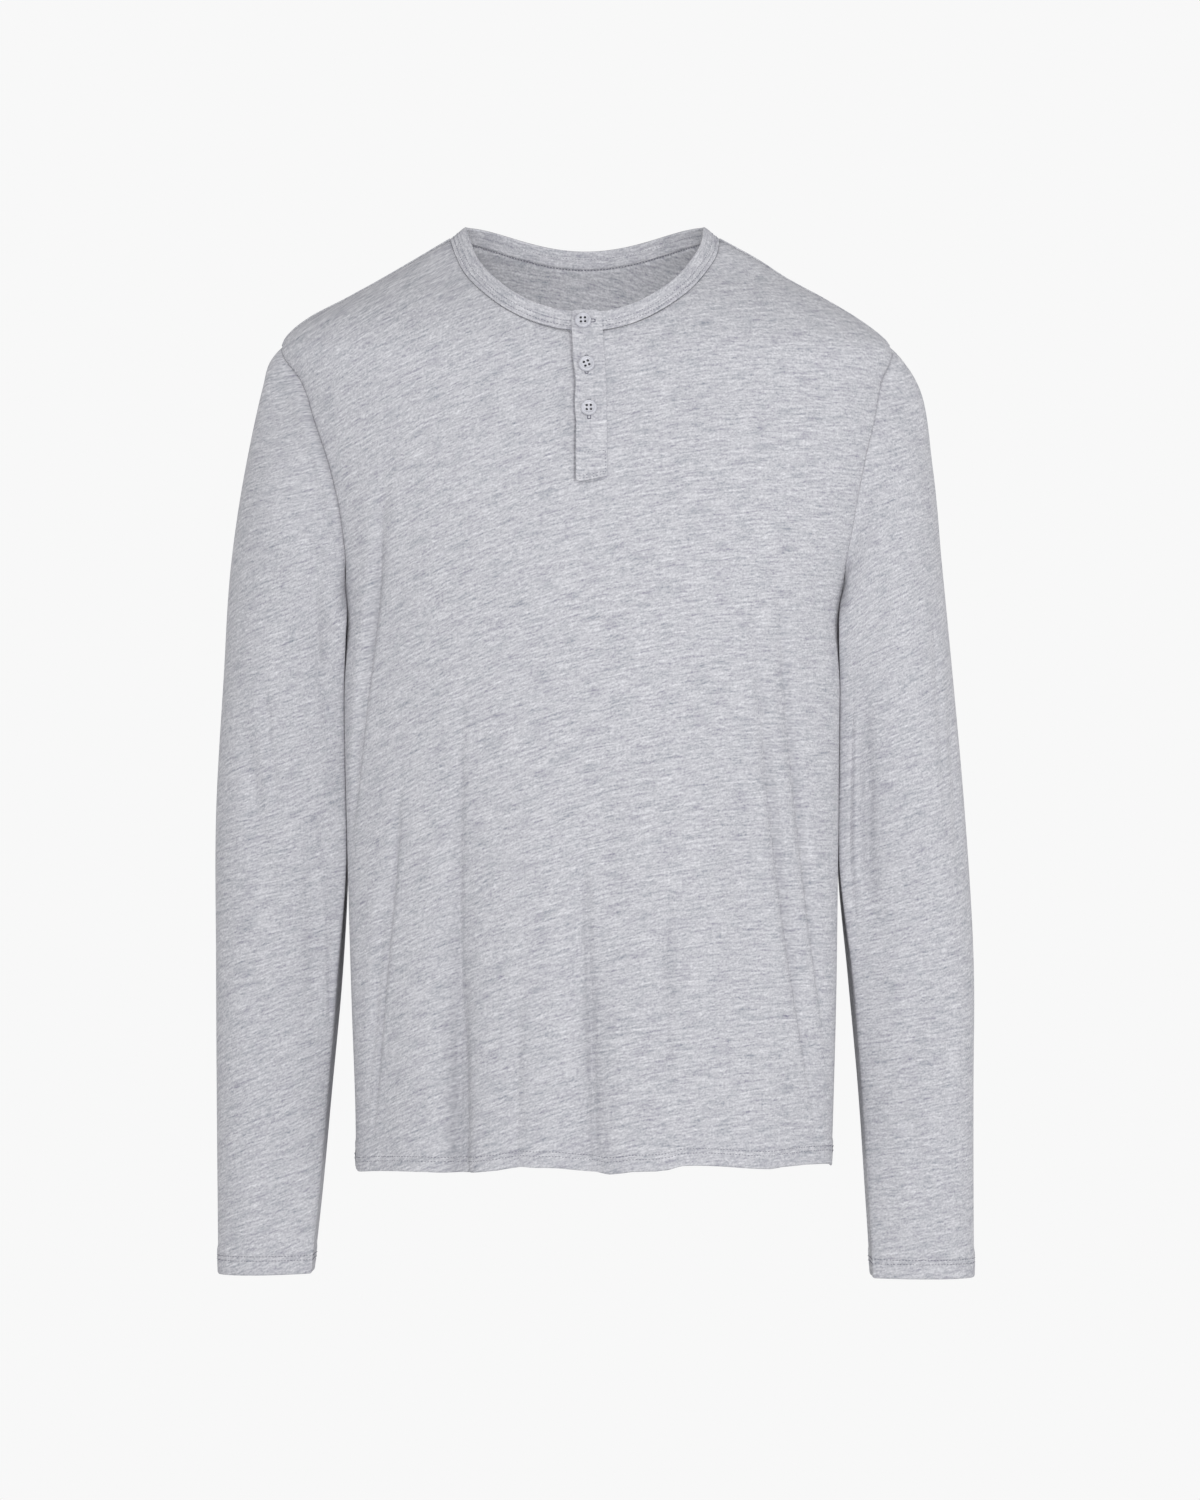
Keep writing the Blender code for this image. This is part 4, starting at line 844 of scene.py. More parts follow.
def neck_place(x):
    """Place along the front neckline at x, near its middle."""
    places = np.linspace(-0.4, 0.4, 81)
    bearing, height = neckline(places, False)
    return np.interp(x, body_form(bearing, height)[..., 0], places)


def strip_form(x, run):
    """The front and the band above it as one strip; run is 0 at the neck seam and grows upwards."""
    x, run = np.broadcast_arrays(x, run)
    place = neck_place(x)
    height = neckline(place, False)[1] + np.minimum(run, 0)
    panel = body_cloth(bearing_of(x, height), height)
    return np.where(run[..., None] > 0, band_cloth(place, np.maximum(run, 0)), panel)


def strip_outward(x, run):
    """Normals of the strip, turning evenly from the panel to the band."""
    below = outward(strip_form, x, np.minimum(run, -STEP) + 0 * x)
    above = outward(strip_form, x, np.maximum(run, STEP) + 0 * x)
    share = ramp(run, -STRIP_BEND / 2, STRIP_BEND / 2)[..., None] + 0 * below
    return unit(below * (1 - share) + above * share)


def strip_surface(x, run, lift):
    x, run = np.broadcast_arrays(x, run)
    return strip_form(x, run) + lift * strip_outward(x, run)


# ---- Settings -----------------------------------------------------------------------------------


class ClothSettings(bpy.types.PropertyGroup):
    """The jersey and its yarn."""

    wall: bpy.props.FloatProperty(
        name="Cloth thickness", description="Thickness of one layer of jersey",
        default=0.0010, min=0.0005, max=0.003, unit="LENGTH",
    )
    hem_wall: bpy.props.FloatProperty(
        name="Hem thickness", description="Thickness where the cloth is turned up",
        default=0.0020, min=0.0005, max=0.004, unit="LENGTH",
    )
    pale: bpy.props.FloatVectorProperty(
        name="Ground yarn", description="Colour of the cloth between its streaks",
        default=(0.440, 0.441, 0.472), min=0, max=1, subtype="COLOR",
    )
    bright: bpy.props.FloatVectorProperty(
        name="Bright yarn", description="Colour of the lightest threads",
        default=(0.680, 0.682, 0.712), min=0, max=1, subtype="COLOR",
    )
    dark: bpy.props.FloatVectorProperty(
        name="Slub yarn", description="Colour of the darkest streaks",
        default=(0.200, 0.195, 0.252), min=0, max=1, subtype="COLOR",
    )
    cool: bpy.props.FloatVectorProperty(
        name="Cool slub yarn", description="Colour of the darkest streaks in cooler patches",
        default=(0.187, 0.208, 0.246), min=0, max=1, subtype="COLOR",
    )
    streak_length: bpy.props.FloatProperty(
        name="Streak length", description="Usual length of a slub",
        default=0.0075, min=0.001, max=0.05, unit="LENGTH",
    )
    streak_height: bpy.props.FloatProperty(
        name="Streak height", description="Usual height of a slub across the courses",
        default=0.0018, min=0.0002, max=0.01, unit="LENGTH",
    )


class SewingSettings(bpy.types.PropertyGroup):
    """Stitches and thread."""

    thread: bpy.props.FloatProperty(
        name="Thread", description="Thickness of the sewing thread",
        default=0.00045, min=0.0001, max=0.001, unit="LENGTH",
    )
    stitch: bpy.props.FloatProperty(
        name="Stitch", description="Length of a stitch on the face of the cloth",
        default=0.0013, min=0.0005, max=0.01, unit="LENGTH",
    )
    gap: bpy.props.FloatProperty(
        name="Gap", description="Length between two stitches where the thread is inside the cloth",
        default=0.0011, min=0.0002, max=0.01, unit="LENGTH",
    )
    low_row: bpy.props.FloatProperty(
        name="Lower hem row", description="Height of the lower row of stitches above a hem's edge",
        default=0.0108, min=0.001, max=0.05, unit="LENGTH",
    )
    high_row: bpy.props.FloatProperty(
        name="Upper hem row", description="Height of the upper row of stitches above a hem's edge",
        default=0.0140, min=0.001, max=0.05, unit="LENGTH",
    )
    # Darker than the cloth: partly the thread's own colour, partly painted shade for the pits where
    # each stitch dives into the cloth.
    colour: bpy.props.FloatVectorProperty(
        name="Thread colour", description="Colour of the sewing thread",
        default=(0.20, 0.20, 0.245), min=0, max=1, subtype="COLOR",
    )


class ButtonSettings(bpy.types.PropertyGroup):
    """The three buttons."""

    colour: bpy.props.FloatVectorProperty(
        name="Button colour", description="Colour of the buttons' plastic",
        default=(0.50, 0.505, 0.55), min=0, max=1, subtype="COLOR",
    )
    # Near-black: the thread that fills the buttons' holes is painted shade, standing in for the dark
    # inside the holes.
    thread: bpy.props.FloatVectorProperty(
        name="Button thread", description="Colour of the thread in the buttons' holes",
        default=(0.010, 0.010, 0.013), min=0, max=1, subtype="COLOR",
    )
    size: bpy.props.FloatProperty(
        name="Button size", description="Diameter, against the 12.7 mm of a 20 line button",
        default=0.95, min=0.5, max=1.5, subtype="FACTOR",
    )


class StageSettings(bpy.types.PropertyGroup):
    """Floor, surroundings and lamps."""

    surround: bpy.props.FloatVectorProperty(
        name="Surroundings", description="Colour of the plain surroundings and their light",
        default=(0.939, 0.939, 0.939), min=0, max=1, subtype="COLOR",
    )
    ceiling: bpy.props.FloatVectorProperty(
        name="Ceiling", description="Colour of the surroundings overhead",
        default=(0.45, 0.45, 0.45), min=0, max=1, subtype="COLOR",
    )
    floor_height: bpy.props.FloatProperty(
        name="Floor", description="Height of the floor, under a shirt worn by someone standing",
        default=-1.62, min=-3, max=-0.85, unit="LENGTH",
    )
    floor_radius: bpy.props.FloatProperty(
        name="Floor radius", description="Radius of the round floor",
        default=3.2, min=1, max=10, unit="LENGTH",
    )
    front_lamp: bpy.props.FloatProperty(
        name="Front lamp", description="Power of the large soft lamp by the camera, in watts",
        default=71.0, min=0, max=2000,
    )
    side_lamp: bpy.props.FloatProperty(
        name="Side lamp", description="Power of the soft lamp on the wearer's left, in watts",
        default=18.0, min=0, max=2000,
    )
    neck_lamp: bpy.props.FloatProperty(
        name="Neck lamp", description="Power of the small lamp inside the neck, in watts",
        default=0.066, min=0, max=10,
    )


# ---- Meshes -------------------------------------------------------------------------------------


def grid_faces(rows, columns, closed=False, looped=False, turned=False):
    """Corner indices of a grid's four-sided faces, row by row. closed joins the last column to the
    first, looped joins the last row to the first, and turned winds the faces the other way."""
    index = np.arange(rows * columns).reshape(rows, columns)
    if closed:
        index = np.concatenate((index, index[:, :1]), axis=1)
    if looped:
        index = np.concatenate((index, index[:1]))
    faces = np.stack((index[:-1, :-1], index[:-1, 1:], index[1:, 1:], index[1:, :-1]), axis=-1)
    return faces[..., ::-1] if turned else faces


def new_mesh(name, points, faces):
    """A mesh of four-sided faces from whole arrays."""
    points, faces = points.reshape(-1, 3), faces.reshape(-1, 4)
    mesh = bpy.data.meshes.new(name)
    mesh.vertices.add(len(points))
    mesh.vertices.foreach_set("co", points.astype(np.float32).ravel())
    mesh.loops.add(faces.size)
    mesh.loops.foreach_set("vertex_index", faces.astype(np.int32).ravel())
    mesh.polygons.add(len(faces))
    mesh.polygons.foreach_set("loop_start", np.arange(0, faces.size, 4, dtype=np.int32))
    mesh.update(calc_edges=True)
    mesh.validate()
    mesh.shade_smooth()
    return mesh


def lay_cloth(mesh, places):
    """A UV map in metres of cloth: along the courses, then across them. places has one row of
    two for each corner of each face."""
    layer = mesh.uv_layers.new(name="cloth")
    layer.uv.foreach_set("vector", places.reshape(-1).astype(np.float32))


def new_piece(name, mesh, material, replaced=()):
    """A finished object that rides on the shirt."""
    mesh.materials.append(material)
    piece = bpy.data.objects.new(name, mesh)
    bpy.context.scene.collection.objects.link(piece)
    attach(piece, "root")
    if replaced:
        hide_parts(*replaced)
    return piece


def travelled(points, axis):
    """Distance along a grid's axis from its first line, the sum of the steps between points."""
    steps = np.linalg.norm(np.diff(points, axis=axis), axis=-1)
    start = np.zeros_like(np.take(steps, [0], axis=axis))
    return np.concatenate((start, np.cumsum(steps, axis=axis)), axis=axis)


def crowded(low, high, count, middle, reach, crowding):
    """count + 1 values from low to high, closer together round middle: their spacing is even, over
    1 + crowding times a bell round middle."""
    value = np.linspace(low, high, 4001)
    weight = 1 + crowding * bell(value - middle, reach)
    reached = np.concatenate(([0.0], np.cumsum((weight[1:] + weight[:-1]) / 2)))
    return np.interp(np.linspace(0, reached[-1], count + 1), reached, value)


def dip(distance, width=SEAM_DIP_WIDTH):
    """How far cloth sinks at a distance from a seam."""
    return -SEAM_DIP * bell(distance, width)


def shell(piece, shares):
    """Gives a piece its thickness about its grid. shares has a vertex group value for each point,
    1 where the wall is as thick as a hem."""
    solidify = piece.modifiers.new("wall", "SOLIDIFY")
    solidify.thickness = bpy.context.scene.shirt_cloth.hem_wall
    solidify.offset = 0
    solidify.use_even_offset = False
    solidify.use_quality_normals = True
    group = piece.vertex_groups.new(name="wall")
    for value in np.unique(shares):
        group.add(np.flatnonzero(shares == value).tolist(), float(value), "REPLACE")
    solidify.vertex_group = group.name
    solidify.thickness_vertex_group = 0.0


# ---- Panels -------------------------------------------------------------------------------------


def body_courses(form, across, behind):
    """Where a point of the trunk lies on the knit: along the courses, and across them. The courses
    are slanted; their slope changes evenly from one side of the panel to the other."""
    start, change = BACK_SLANT if behind else FRONT_SLANT
    slope = start - change * form[..., 0] * (-1 if behind else 1)
    middle = across[:, across.shape[1] // 2, None]
    along = across - middle + COURSE_STARTS["back" if behind else "front"]
    return np.stack((along, form[..., 2] - np.log(np.cos(slope)) / change), axis=-1)


def panel(behind):
    """Points, wall shares, and places on the knit of a panel of the trunk, and its slot.

    Its grid runs from side seam to side seam and from hem to shoulder. The points lie on the
    trunk, and sink along the sewn edges, the rows of stitches and the placket's free edge.
    """
    rows_below, rows_above, columns = PANEL_GRID[0]
    metre = UNDERARM_SHARE / (UNDERARM_HEIGHT - HEM_HEIGHT)
    rise = crowded(0, 1, rows_above - 1, FOOT_ROW, FOOT_REACH, 0 if behind else FOOT_CROWDING)
    climb = 1 - (1 - rise) ** CLIMB_POWER
    v = np.concatenate((
        np.array(HEM_ROWS) * metre, np.linspace(HEM_TOP_ROW * metre, UNDERARM_SHARE, rows_below),
        UNDERARM_SHARE + (1 - UNDERARM_SHARE) * climb[1:],
    ))
    u = crowded(0, 1, columns, PLACKET_COLUMN, PLACKET_REACH, 0 if behind else PLACKET_CROWDING)
    bearing, height = panel_plan(u, v, behind)
    slot = None
    if not behind:
        bearing, slot = fit_slot(bearing, height)
    form = body_form(bearing, height)
    across, up = travelled(form, 1), travelled(form, 0)
    sewn = ramp(height - UNDERARM_HEIGHT, -SEAM_CHANGE, SEAM_CHANGE)
    side = dip(across) + dip(across[:, -1:] - across)
    seam, width = (TOP_SEAM_BACK, TOP_SEAM_BACK_WIDTH) if behind else (TOP_SEAM, TOP_SEAM_WIDTH)
    sink = side * (SIDE_SEAM + (ARMHOLE_SEAM - SIDE_SEAM) * sewn) + dip(up[-1:] - up, width) * seam
    if not behind:
        sink = sink - FREE_EDGE_SINK * beside_placket(form[..., 0], height)
    above_edge = height - height[:1]
    sink = sink + stitch_dip(above_edge)
    points = body_cloth(bearing, height) + sink[..., None] * outward(body_form, bearing, height)
    return points, hem_shares(above_edge), body_courses(form, across, behind), slot


def stitch_dip(above_edge):
    """How far a hem is drawn in by its stitches: a narrow bell along each row."""
    sewing = bpy.context.scene.shirt_sewing
    rows = (sewing.low_row, sewing.high_row)
    return -STITCH_DIP * sum(bell(above_edge - row, STITCH_DIP_WIDTH) for row in rows)


def placket_lean(height):
    return np.interp(height, *PLACKET_LEAN)


def free_edge(height):
    return PLACKET_FREE_EDGE + placket_lean(height) + np.interp(height, *FREE_EDGE_WAVE)


def placket_foot(across):
    """Height of the placket's bottom over PLACKET_BOTTOM, with across -1 at its free edge and 1 at
    its seam."""
    corner = np.clip((-across - FOOT_ROUND_START) / (1 - FOOT_ROUND_START), 0, 1)
    return FOOT_SLOPE * (1 + across) + FOOT_ROUND * corner**2


def beside_placket(x, height):
    """1 along the outline of the placket's free edge and bottom, and less away from it by a bell."""
    edge, seam = free_edge(height), PLACKET_SEAM + placket_lean(height)
    across = np.clip(2 * (x - edge) / (seam - edge) - 1, -1, 1)
    above = height - PLACKET_BOTTOM - placket_foot(across)
    from_edge = bell(x - edge + FREE_EDGE_SINK_PLACE, FREE_EDGE_SINK_WIDTH)
    from_bottom = bell(above + FREE_EDGE_SINK_PLACE, FREE_EDGE_SINK_WIDTH)
    inside = ramp(x - edge, 0, SINK_FADES[0]) * ramp(seam - x, 0, SINK_FADES[1])
    return np.maximum(from_edge * ramp(above, -SINK_END, SINK_END), from_bottom * inside)


def hem_shares(above_edge):
    """Share of the hem's thickness: rounded at the folded edge, whole over the turned up depth,
    then one layer."""
    settings = bpy.context.scene.shirt_cloth
    single = settings.wall / settings.hem_wall
    fold = np.sqrt(np.clip(above_edge / HEM_FOLD, HEM_FOLD_LEAST, 1))
    step = ramp(above_edge, HEM_DEPTH, HEM_DEPTH + HEM_STEP)
    return np.round(fold * (1 - step) + single * step, 2)


def fit_slot(bearing, height):
    """Leans the columns of points near the placket as it leans, then moves the two nearest its slot
    onto its edges, and those beside them less and less. Gives the bearings, and the first row and
    the two columns of the slot."""
    seen = body_form(bearing, height)[..., 0]
    lean = placket_lean(height)
    x = seen + (lean - PLACKET_LEAN[1][0] / 2) * bell(seen, LEAN_REACH)
    first_row = int(np.argmax(height[:, height.shape[1] // 2] > SLOT_BOTTOM))
    columns = np.arange(bearing.shape[1])
    sides = SLOT_MIN_X, SLOT_MAX_X
    edges = [int(np.argmin(np.abs((x - lean)[first_row:].mean(axis=0) - edge))) for edge in sides]
    moved = x.copy()
    for column, edge in zip(edges, sides):
        reach = ramp(np.abs(columns - column), SLOT_COLUMNS, 0)[None, :]
        fade = ramp(height[:, column], SLOT_BOTTOM - SLOT_FADE, SLOT_BOTTOM)[:, None]
        moved = moved + (edge + lean[:, column] - x[:, column])[:, None] * reach * fade
    return bearing + bearing_of(moved, height) - bearing_of(seen, height), (first_row, *edges)


def make_panel(name, behind):
    points, shares, places, slot = panel(behind)
    faces = grid_faces(*points.shape[:2])
    keep = np.ones(faces.shape[:2], bool)
    if slot:
        keep[slot[0]:, slot[1]:slot[2]] = False
    faces = faces[keep]
    mesh = new_mesh(name, points, faces)
    lay_cloth(mesh, places.reshape(-1, 2)[faces])
    piece = new_piece(name, mesh, jersey_material(), [name.replace("_cloth", "")])
    shell(piece, shares.ravel())
    return piece


# ---- Sleeves ------------------------------------------------------------------------------------


def sleeve_courses(name, points):
    """Where a point of a sleeve lies on the knit. Distances round the arm are counted from its
    front line, so the courses wind round it and step only along one line behind it."""
    round_arm = travelled(points, 1)
    front = np.argmin(np.abs(sleeve_turns(points.shape[1] - 1) - math.pi / 2))
    round_arm = -SLEEVES[name][0] * (round_arm - round_arm[:, front, None])
    slope = np.interp(-points[..., 2], *SLEEVE_SLANT[name])
    up = points[..., 2] - np.tan(slope) * round_arm
    return np.stack((round_arm + COURSE_STARTS[name], up), axis=-1)


def sleeve_turns(columns):
    """Turns from the line behind the arm round to itself, closer together at the sleeve's corner."""
    low, high = -math.pi / 2, 3 * math.pi / 2
    return crowded(low, high, columns, FLANK_TURN, CORNER_REACH, CORNER_CROWDING)


def armhole_tuck(height, down, turn):
    """How the sleeve's fullness hangs over the lower front of its armhole: a deeper seam and a soft
    roll below it. down is the distance from the seam."""
    low, full, still, high = ARMHOLE_TUCK_HEIGHTS
    share = ramp(height, low, full) * (1 - ramp(height, still, high))
    share = share * ramp(np.sin(turn), 0, ARMHOLE_TUCK_FRONT)
    (seam, roll), (seam_width, roll_width) = ARMHOLE_TUCK, ARMHOLE_TUCK_WIDTHS
    return share * (seam * bell(down, seam_width) + roll * bell(down - ARMHOLE_TUCK_PLACE, roll_width))


def make_sleeve(name):
    """A sleeve, in rings from the armhole to the cuff. It sinks at the armhole, less at the seam
    inside the arm, and along the cuff's stitches."""
    rings, columns = SLEEVE_GRID[0]
    down_to_hem = np.linspace(0, 1, rings) ** SLEEVE_POWER * (1 - HEM_TOP_ROW / SLEEVE_LENGTH)
    edge = 1 - np.array(HEM_ROWS[::-1]) / SLEEVE_LENGTH
    along = np.concatenate((down_to_hem, edge))[:, None]
    turn = sleeve_turns(columns)[None, :]
    points = sleeve_cloth(name, turn, along)
    down = travelled(points, 0)
    above_edge = down[-1:] - down
    inside = (math.pi - np.abs(half_turn(turn))) * SLEEVE_RADIUS
    sink = ARMHOLE_SEAM * dip(down) + SIDE_SEAM * dip(inside) + stitch_dip(above_edge)
    if name == "right":
        sink = sink + armhole_tuck(points[..., 2], down, turn)
    courses = sleeve_courses(name, points)
    points = (points + sink[..., None] * sleeve_outward(name, turn, along))[:, :-1]
    turned = name == "right"
    faces = grid_faces(*points.shape[:2], closed=True, turned=turned)
    corners = grid_faces(points.shape[0], points.shape[1] + 1, turned=turned)
    mesh = new_mesh(f"sleeve_{name}_cloth", points, faces)
    lay_cloth(mesh, courses.reshape(-1, 2)[corners])
    piece = new_piece(f"sleeve_{name}_cloth", mesh, jersey_material(), [f"sleeve_{name}"])
    shell(piece, hem_shares(above_edge)[:, :-1].ravel())
    return piece


# ---- Neck band ----------------------------------------------------------------------------------


def band_surface(place, rise, lift):
    """The band's middle surface, moved out by lift along its own normal."""
    form = band_cloth(place, rise)
    along = band_cloth(place + STEP, rise) - band_cloth(place - STEP, rise)
    return form + lift[..., None] * unit(np.cross(along, band_up(place)))


def band_ends():
    return float(neck_place(SLOT_MAX_X + 0.0003)), 4 + float(neck_place(SLOT_MIN_X - 0.0003))


def rounded(turn, power):
    """Cosine and sine bent towards a rectangle with rounded corners: each keeps its sign and is
    raised to a power below 1."""
    return [np.sign(part) * np.abs(part) ** power for part in (np.cos(turn), np.sin(turn))]


def make_band():
    """The neck band: a rounded rectangle carried along the neck seam, swollen in the middle and
    drawn in a little along its rows of stitches."""
    start, end = band_ends()
    rings, sides = BAND_GRID[0]
    place = np.linspace(start, end, rings)[None, :]
    turn = np.linspace(0, 2 * math.pi, sides + 1)[:-1, None]
    up, out = rounded(turn, BAND_ROUNDNESS)
    rise = BAND_HEIGHT * (0.5 + 0.5 * up) + 0 * place
    outside, inside = (
        depth * sum(bell(rise - row, BAND_GROOVE_WIDTH) for row in rows)
        for depth, rows in ((BAND_GROOVE, BAND_ROWS), (BAND_GROOVE_INSIDE, BAND_ROWS_INSIDE))
    )
    swell = 1 + BAND_SWELL * np.sin(math.pi * np.clip(rise / BAND_HEIGHT, 0, 1))
    lift = BAND_WALL / 2 * out * swell - np.sign(out) * np.where(out > 0, outside, inside)
    points = band_surface(place + 0 * rise, rise, lift)
    faces = grid_faces(*points.shape[:2], looped=True)
    length = travelled(points.mean(axis=0, keepdims=True), 1) + COURSE_STARTS["band"]
    places = np.stack((length + 0 * rise, rise + BAND_BACK_START * (out < 0)), axis=-1)
    mesh = new_mesh("neck_band_cloth", points, faces)
    lay_cloth(mesh, places.reshape(-1, 2)[faces])
    return new_piece("neck_band_cloth", mesh, jersey_material(), ["neck_band"])


# ---- Placket ------------------------------------------------------------------------------------


def strip_lift(x, run):
    """Height of the upper strip's middle over the panel's: full at its free edge, less where it is
    sewn down along its seam and over the stitched box."""
    height = run - NECK_DROP_FRONT
    x = x - placket_lean(height)
    seam = ramp(x, PLACKET_SEAM - SEAM_SLOPE, PLACKET_SEAM)
    foot = ramp(height - BOX_TOP, *BOX_EDGE)
    edge = ramp(x, PLACKET_FREE_EDGE + FREE_EDGE_SLOPE, PLACKET_FREE_EDGE)
    sewn = np.maximum(seam, BOX_SEWN * foot)
    return PLACKET_LIFT + (SEAM_LIFT - PLACKET_LIFT) * sewn + FREE_EDGE_RISE * edge


def padded_strip(name, x, run, lift, wall):
    """A strip folded from cloth: a face and a back that meet in rounded edges.

    x, run and lift are grids, run upwards in rows. The half thickness is wall / 2 times, for both
    directions of the grid, the 1/4 power of 1 - |share| ** rounding, with share -1 to 1 across it.
    """
    rows, columns = x.shape
    half = wall / 2 * np.ones(x.shape)
    for share, power in zip((even_edges(-1, 1, columns)[None], even_edges(-1, 1, rows)[:, None]),
                            STRIP_ROUNDING):
        half = half * np.clip(1 - np.abs(share) ** power, 0, 1) ** 0.25
    points = np.concatenate([
        strip_surface(x, run, (lift + side * half)[..., None]).reshape(-1, 3) for side in (1, -1)
    ])
    face = grid_faces(rows, columns).reshape(-1, 4)
    faces = np.concatenate((face, face[:, ::-1] + rows * columns))
    node = name.replace("_cloth", "")
    start = COURSE_STARTS[node.replace("placket_", "")]
    place = np.stack((x + start, run + 0 * x), axis=-1).reshape(-1, 2)
    mesh = new_mesh(name, points, faces)
    lay_cloth(mesh, np.concatenate((place, place + (0, STRIP_BACK_START)))[faces])
    piece = new_piece(name, mesh, jersey_material(), [node])
    weld = piece.modifiers.new("edges", "WELD")
    weld.merge_threshold = 0.00002
    return piece


def even_edges(low, high, count):
    """Values from low to high, close together at both ends, as cosines are."""
    return low + (high - low) * (1 - np.cos(math.pi * np.linspace(0, 1, count))) / 2


def make_placket():
    """The upper strip, with its lean, wavy free edge and rounded ends, and the plain lower one."""
    middle, half = (PLACKET_SEAM + PLACKET_FREE_EDGE) / 2, (PLACKET_SEAM - PLACKET_FREE_EDGE) / 2
    share = even_edges(0, 1, STRIP_ROWS)[:, None]
    across = even_edges(-1, 1, OVER_COLUMNS)[None, :]
    low = PLACKET_BOTTOM + NECK_DROP_FRONT
    top = BAND_HEIGHT + PLACKET_TOP_RISE - PLACKET_TOP_ROUND * np.abs(across) ** 4
    run = low + (top - low) * share
    height = run - NECK_DROP_FRONT
    x = middle + half * across + placket_lean(height)
    x = x + np.interp(height, *FREE_EDGE_WAVE) * ramp(across, *FREE_EDGE_WAVE_REACH)
    foot = placket_foot(across) * ramp(share, FOOT_SHARE, 0)
    over = padded_strip("placket_over_cloth", x, run + foot, strip_lift(x, run), PLACKET_WALL)
    x = even_edges(SLOT_MIN_X + UNDER_GAP, SLOT_MAX_X - UNDER_GAP, UNDER_COLUMNS)[None, :]
    low = SLOT_BOTTOM + NECK_DROP_FRONT + UNDER_GAP
    run = low + (BAND_HEIGHT - low) * share + 0 * x
    x = x + placket_lean(run - NECK_DROP_FRONT)
    return over, padded_strip("placket_under_cloth", x, run, 0 * run + UNDER_LIFT, UNDER_WALL)


# ---- Buttons ------------------------------------------------------------------------------------


def button_place(x, height):
    """A matrix on the placket's face, with Z outwards and Y up along it."""
    x, run = np.array([x]), np.array([height + NECK_DROP_FRONT])
    out = strip_outward(x, run)[0]
    side = unit(np.cross((0, 0, 1), out))
    place = Matrix((side, np.cross(out, side), out)).transposed().to_4x4()
    lift = strip_lift(x, run) + PLACKET_WALL / 2 + BUTTON_LIFT
    place.translation = Vector(strip_surface(x, run, lift[..., None])[0])
    return place


def turned_mesh(name, outline, sides):
    """Rings of an outline of radius and height turned about Z, closed at both ends on the axis."""
    radius, height = np.array(outline).T
    angle = np.arange(sides) * 2 * math.pi / sides
    ring = radius[1:-1, None]
    up = height[1:-1, None] + 0 * ring * angle
    points = np.stack((ring * np.cos(angle), ring * np.sin(angle), up), -1)
    rows = len(outline) - 2
    faces = grid_faces(rows, sides, closed=True, turned=True).reshape(-1, 4)
    mesh = bpy.data.meshes.new(name)
    caps = [list(range(sides)), list(range((rows - 1) * sides, rows * sides))[::-1]]
    mesh.from_pydata(points.reshape(-1, 3).tolist(), [], faces.tolist() + caps)
    return mesh


def drills(radius, spread, sides=18):
    """Four closed tubes for a button's holes, as one mesh."""
    angle = np.arange(sides) * 2 * math.pi / sides
    middles = np.array([(x, y) for x in (-1, 1) for y in (-1, 1)]) * spread
    circle = middles[:, None] + radius * np.stack((np.cos(angle), np.sin(angle)), -1)
    ends = (np.full((4, sides, 1), end) for end in (-DRILL_REACH, DRILL_REACH))
    points = np.stack([np.concatenate((circle, end), -1) for end in ends], axis=1)
    mesh = bpy.data.meshes.new("drills")
    faces = []
    for first in range(0, 8 * sides, 2 * sides):
        low = list(range(first, first + sides))
        faces += (grid_faces(2, sides, closed=True).reshape(-1, 4) + first).tolist()
        faces += [low[::-1], [corner + sides for corner in low]]
    mesh.from_pydata(points.reshape(-1, 3).tolist(), [], faces)
    return mesh


def make_button(number, x, height, turn):
    """A turned disc with a rounded rim round a sunk middle, cut through by four holes. Gives the
    matrix of its place."""
    name, size = f"button_{number}_plastic", bpy.context.scene.shirt_buttons.size
    outline = [(radius * size, rise) for radius, rise in BUTTON_OUTLINE]
    body = bpy.data.objects.new("turned", turned_mesh("turned", outline, BUTTON_SIDES))
    holes = drills(BUTTON_HOLE_RADIUS * size, BUTTON_HOLE_SPREAD * size)
    cutter = bpy.data.objects.new("cutter", holes)
    for thing in (body, cutter):
        bpy.context.scene.collection.objects.link(thing)
    cut = body.modifiers.new("holes", "BOOLEAN")
    cut.operation = "DIFFERENCE"
    cut.solver = "EXACT"
    cut.object = cutter
    seen = body.evaluated_get(bpy.context.evaluated_depsgraph_get())
    mesh = bpy.data.meshes.new_from_object(seen)
    for thing in (body, cutter):
        bpy.data.objects.remove(thing, do_unlink=True)
    place = button_place(x, height) @ Matrix.Rotation(turn, 4, "Z")
    mesh.transform(place)
    mesh.name = name
    mesh.shade_smooth()
    mesh.set_sharp_from_angle(angle=BUTTON_SHARPNESS)
    new_piece(name, mesh, button_material(), [f"button_{number}"])
    return place


# ---- Thread -------------------------------------------------------------------------------------


def tubes(starts_to_ends, normals, widths):
    """Many short threads: starts_to_ends is (threads, stations, 3), with a normal for each station
    and a radius for each station. Each station has a ring of points across the thread."""
    along = unit(np.gradient(starts_to_ends, axis=1))
    side = unit(np.cross(along, normals))
    rise = np.cross(side, along)
    angle = np.arange(THREAD_SIDES) * 2 * math.pi / THREAD_SIDES
    ring = side[:, :, None] * np.cos(angle)[:, None] + rise[:, :, None] * np.sin(angle)[:, None]
    points = starts_to_ends[:, :, None] + ring * widths[:, :, None, None]
    threads, stations = points.shape[:2]
    first = np.arange(threads) * stations * THREAD_SIDES
    faces = grid_faces(stations, THREAD_SIDES, closed=True)[None] + first[:, None, None, None]
    return points.reshape(-1, 3), faces.reshape(-1, 4)


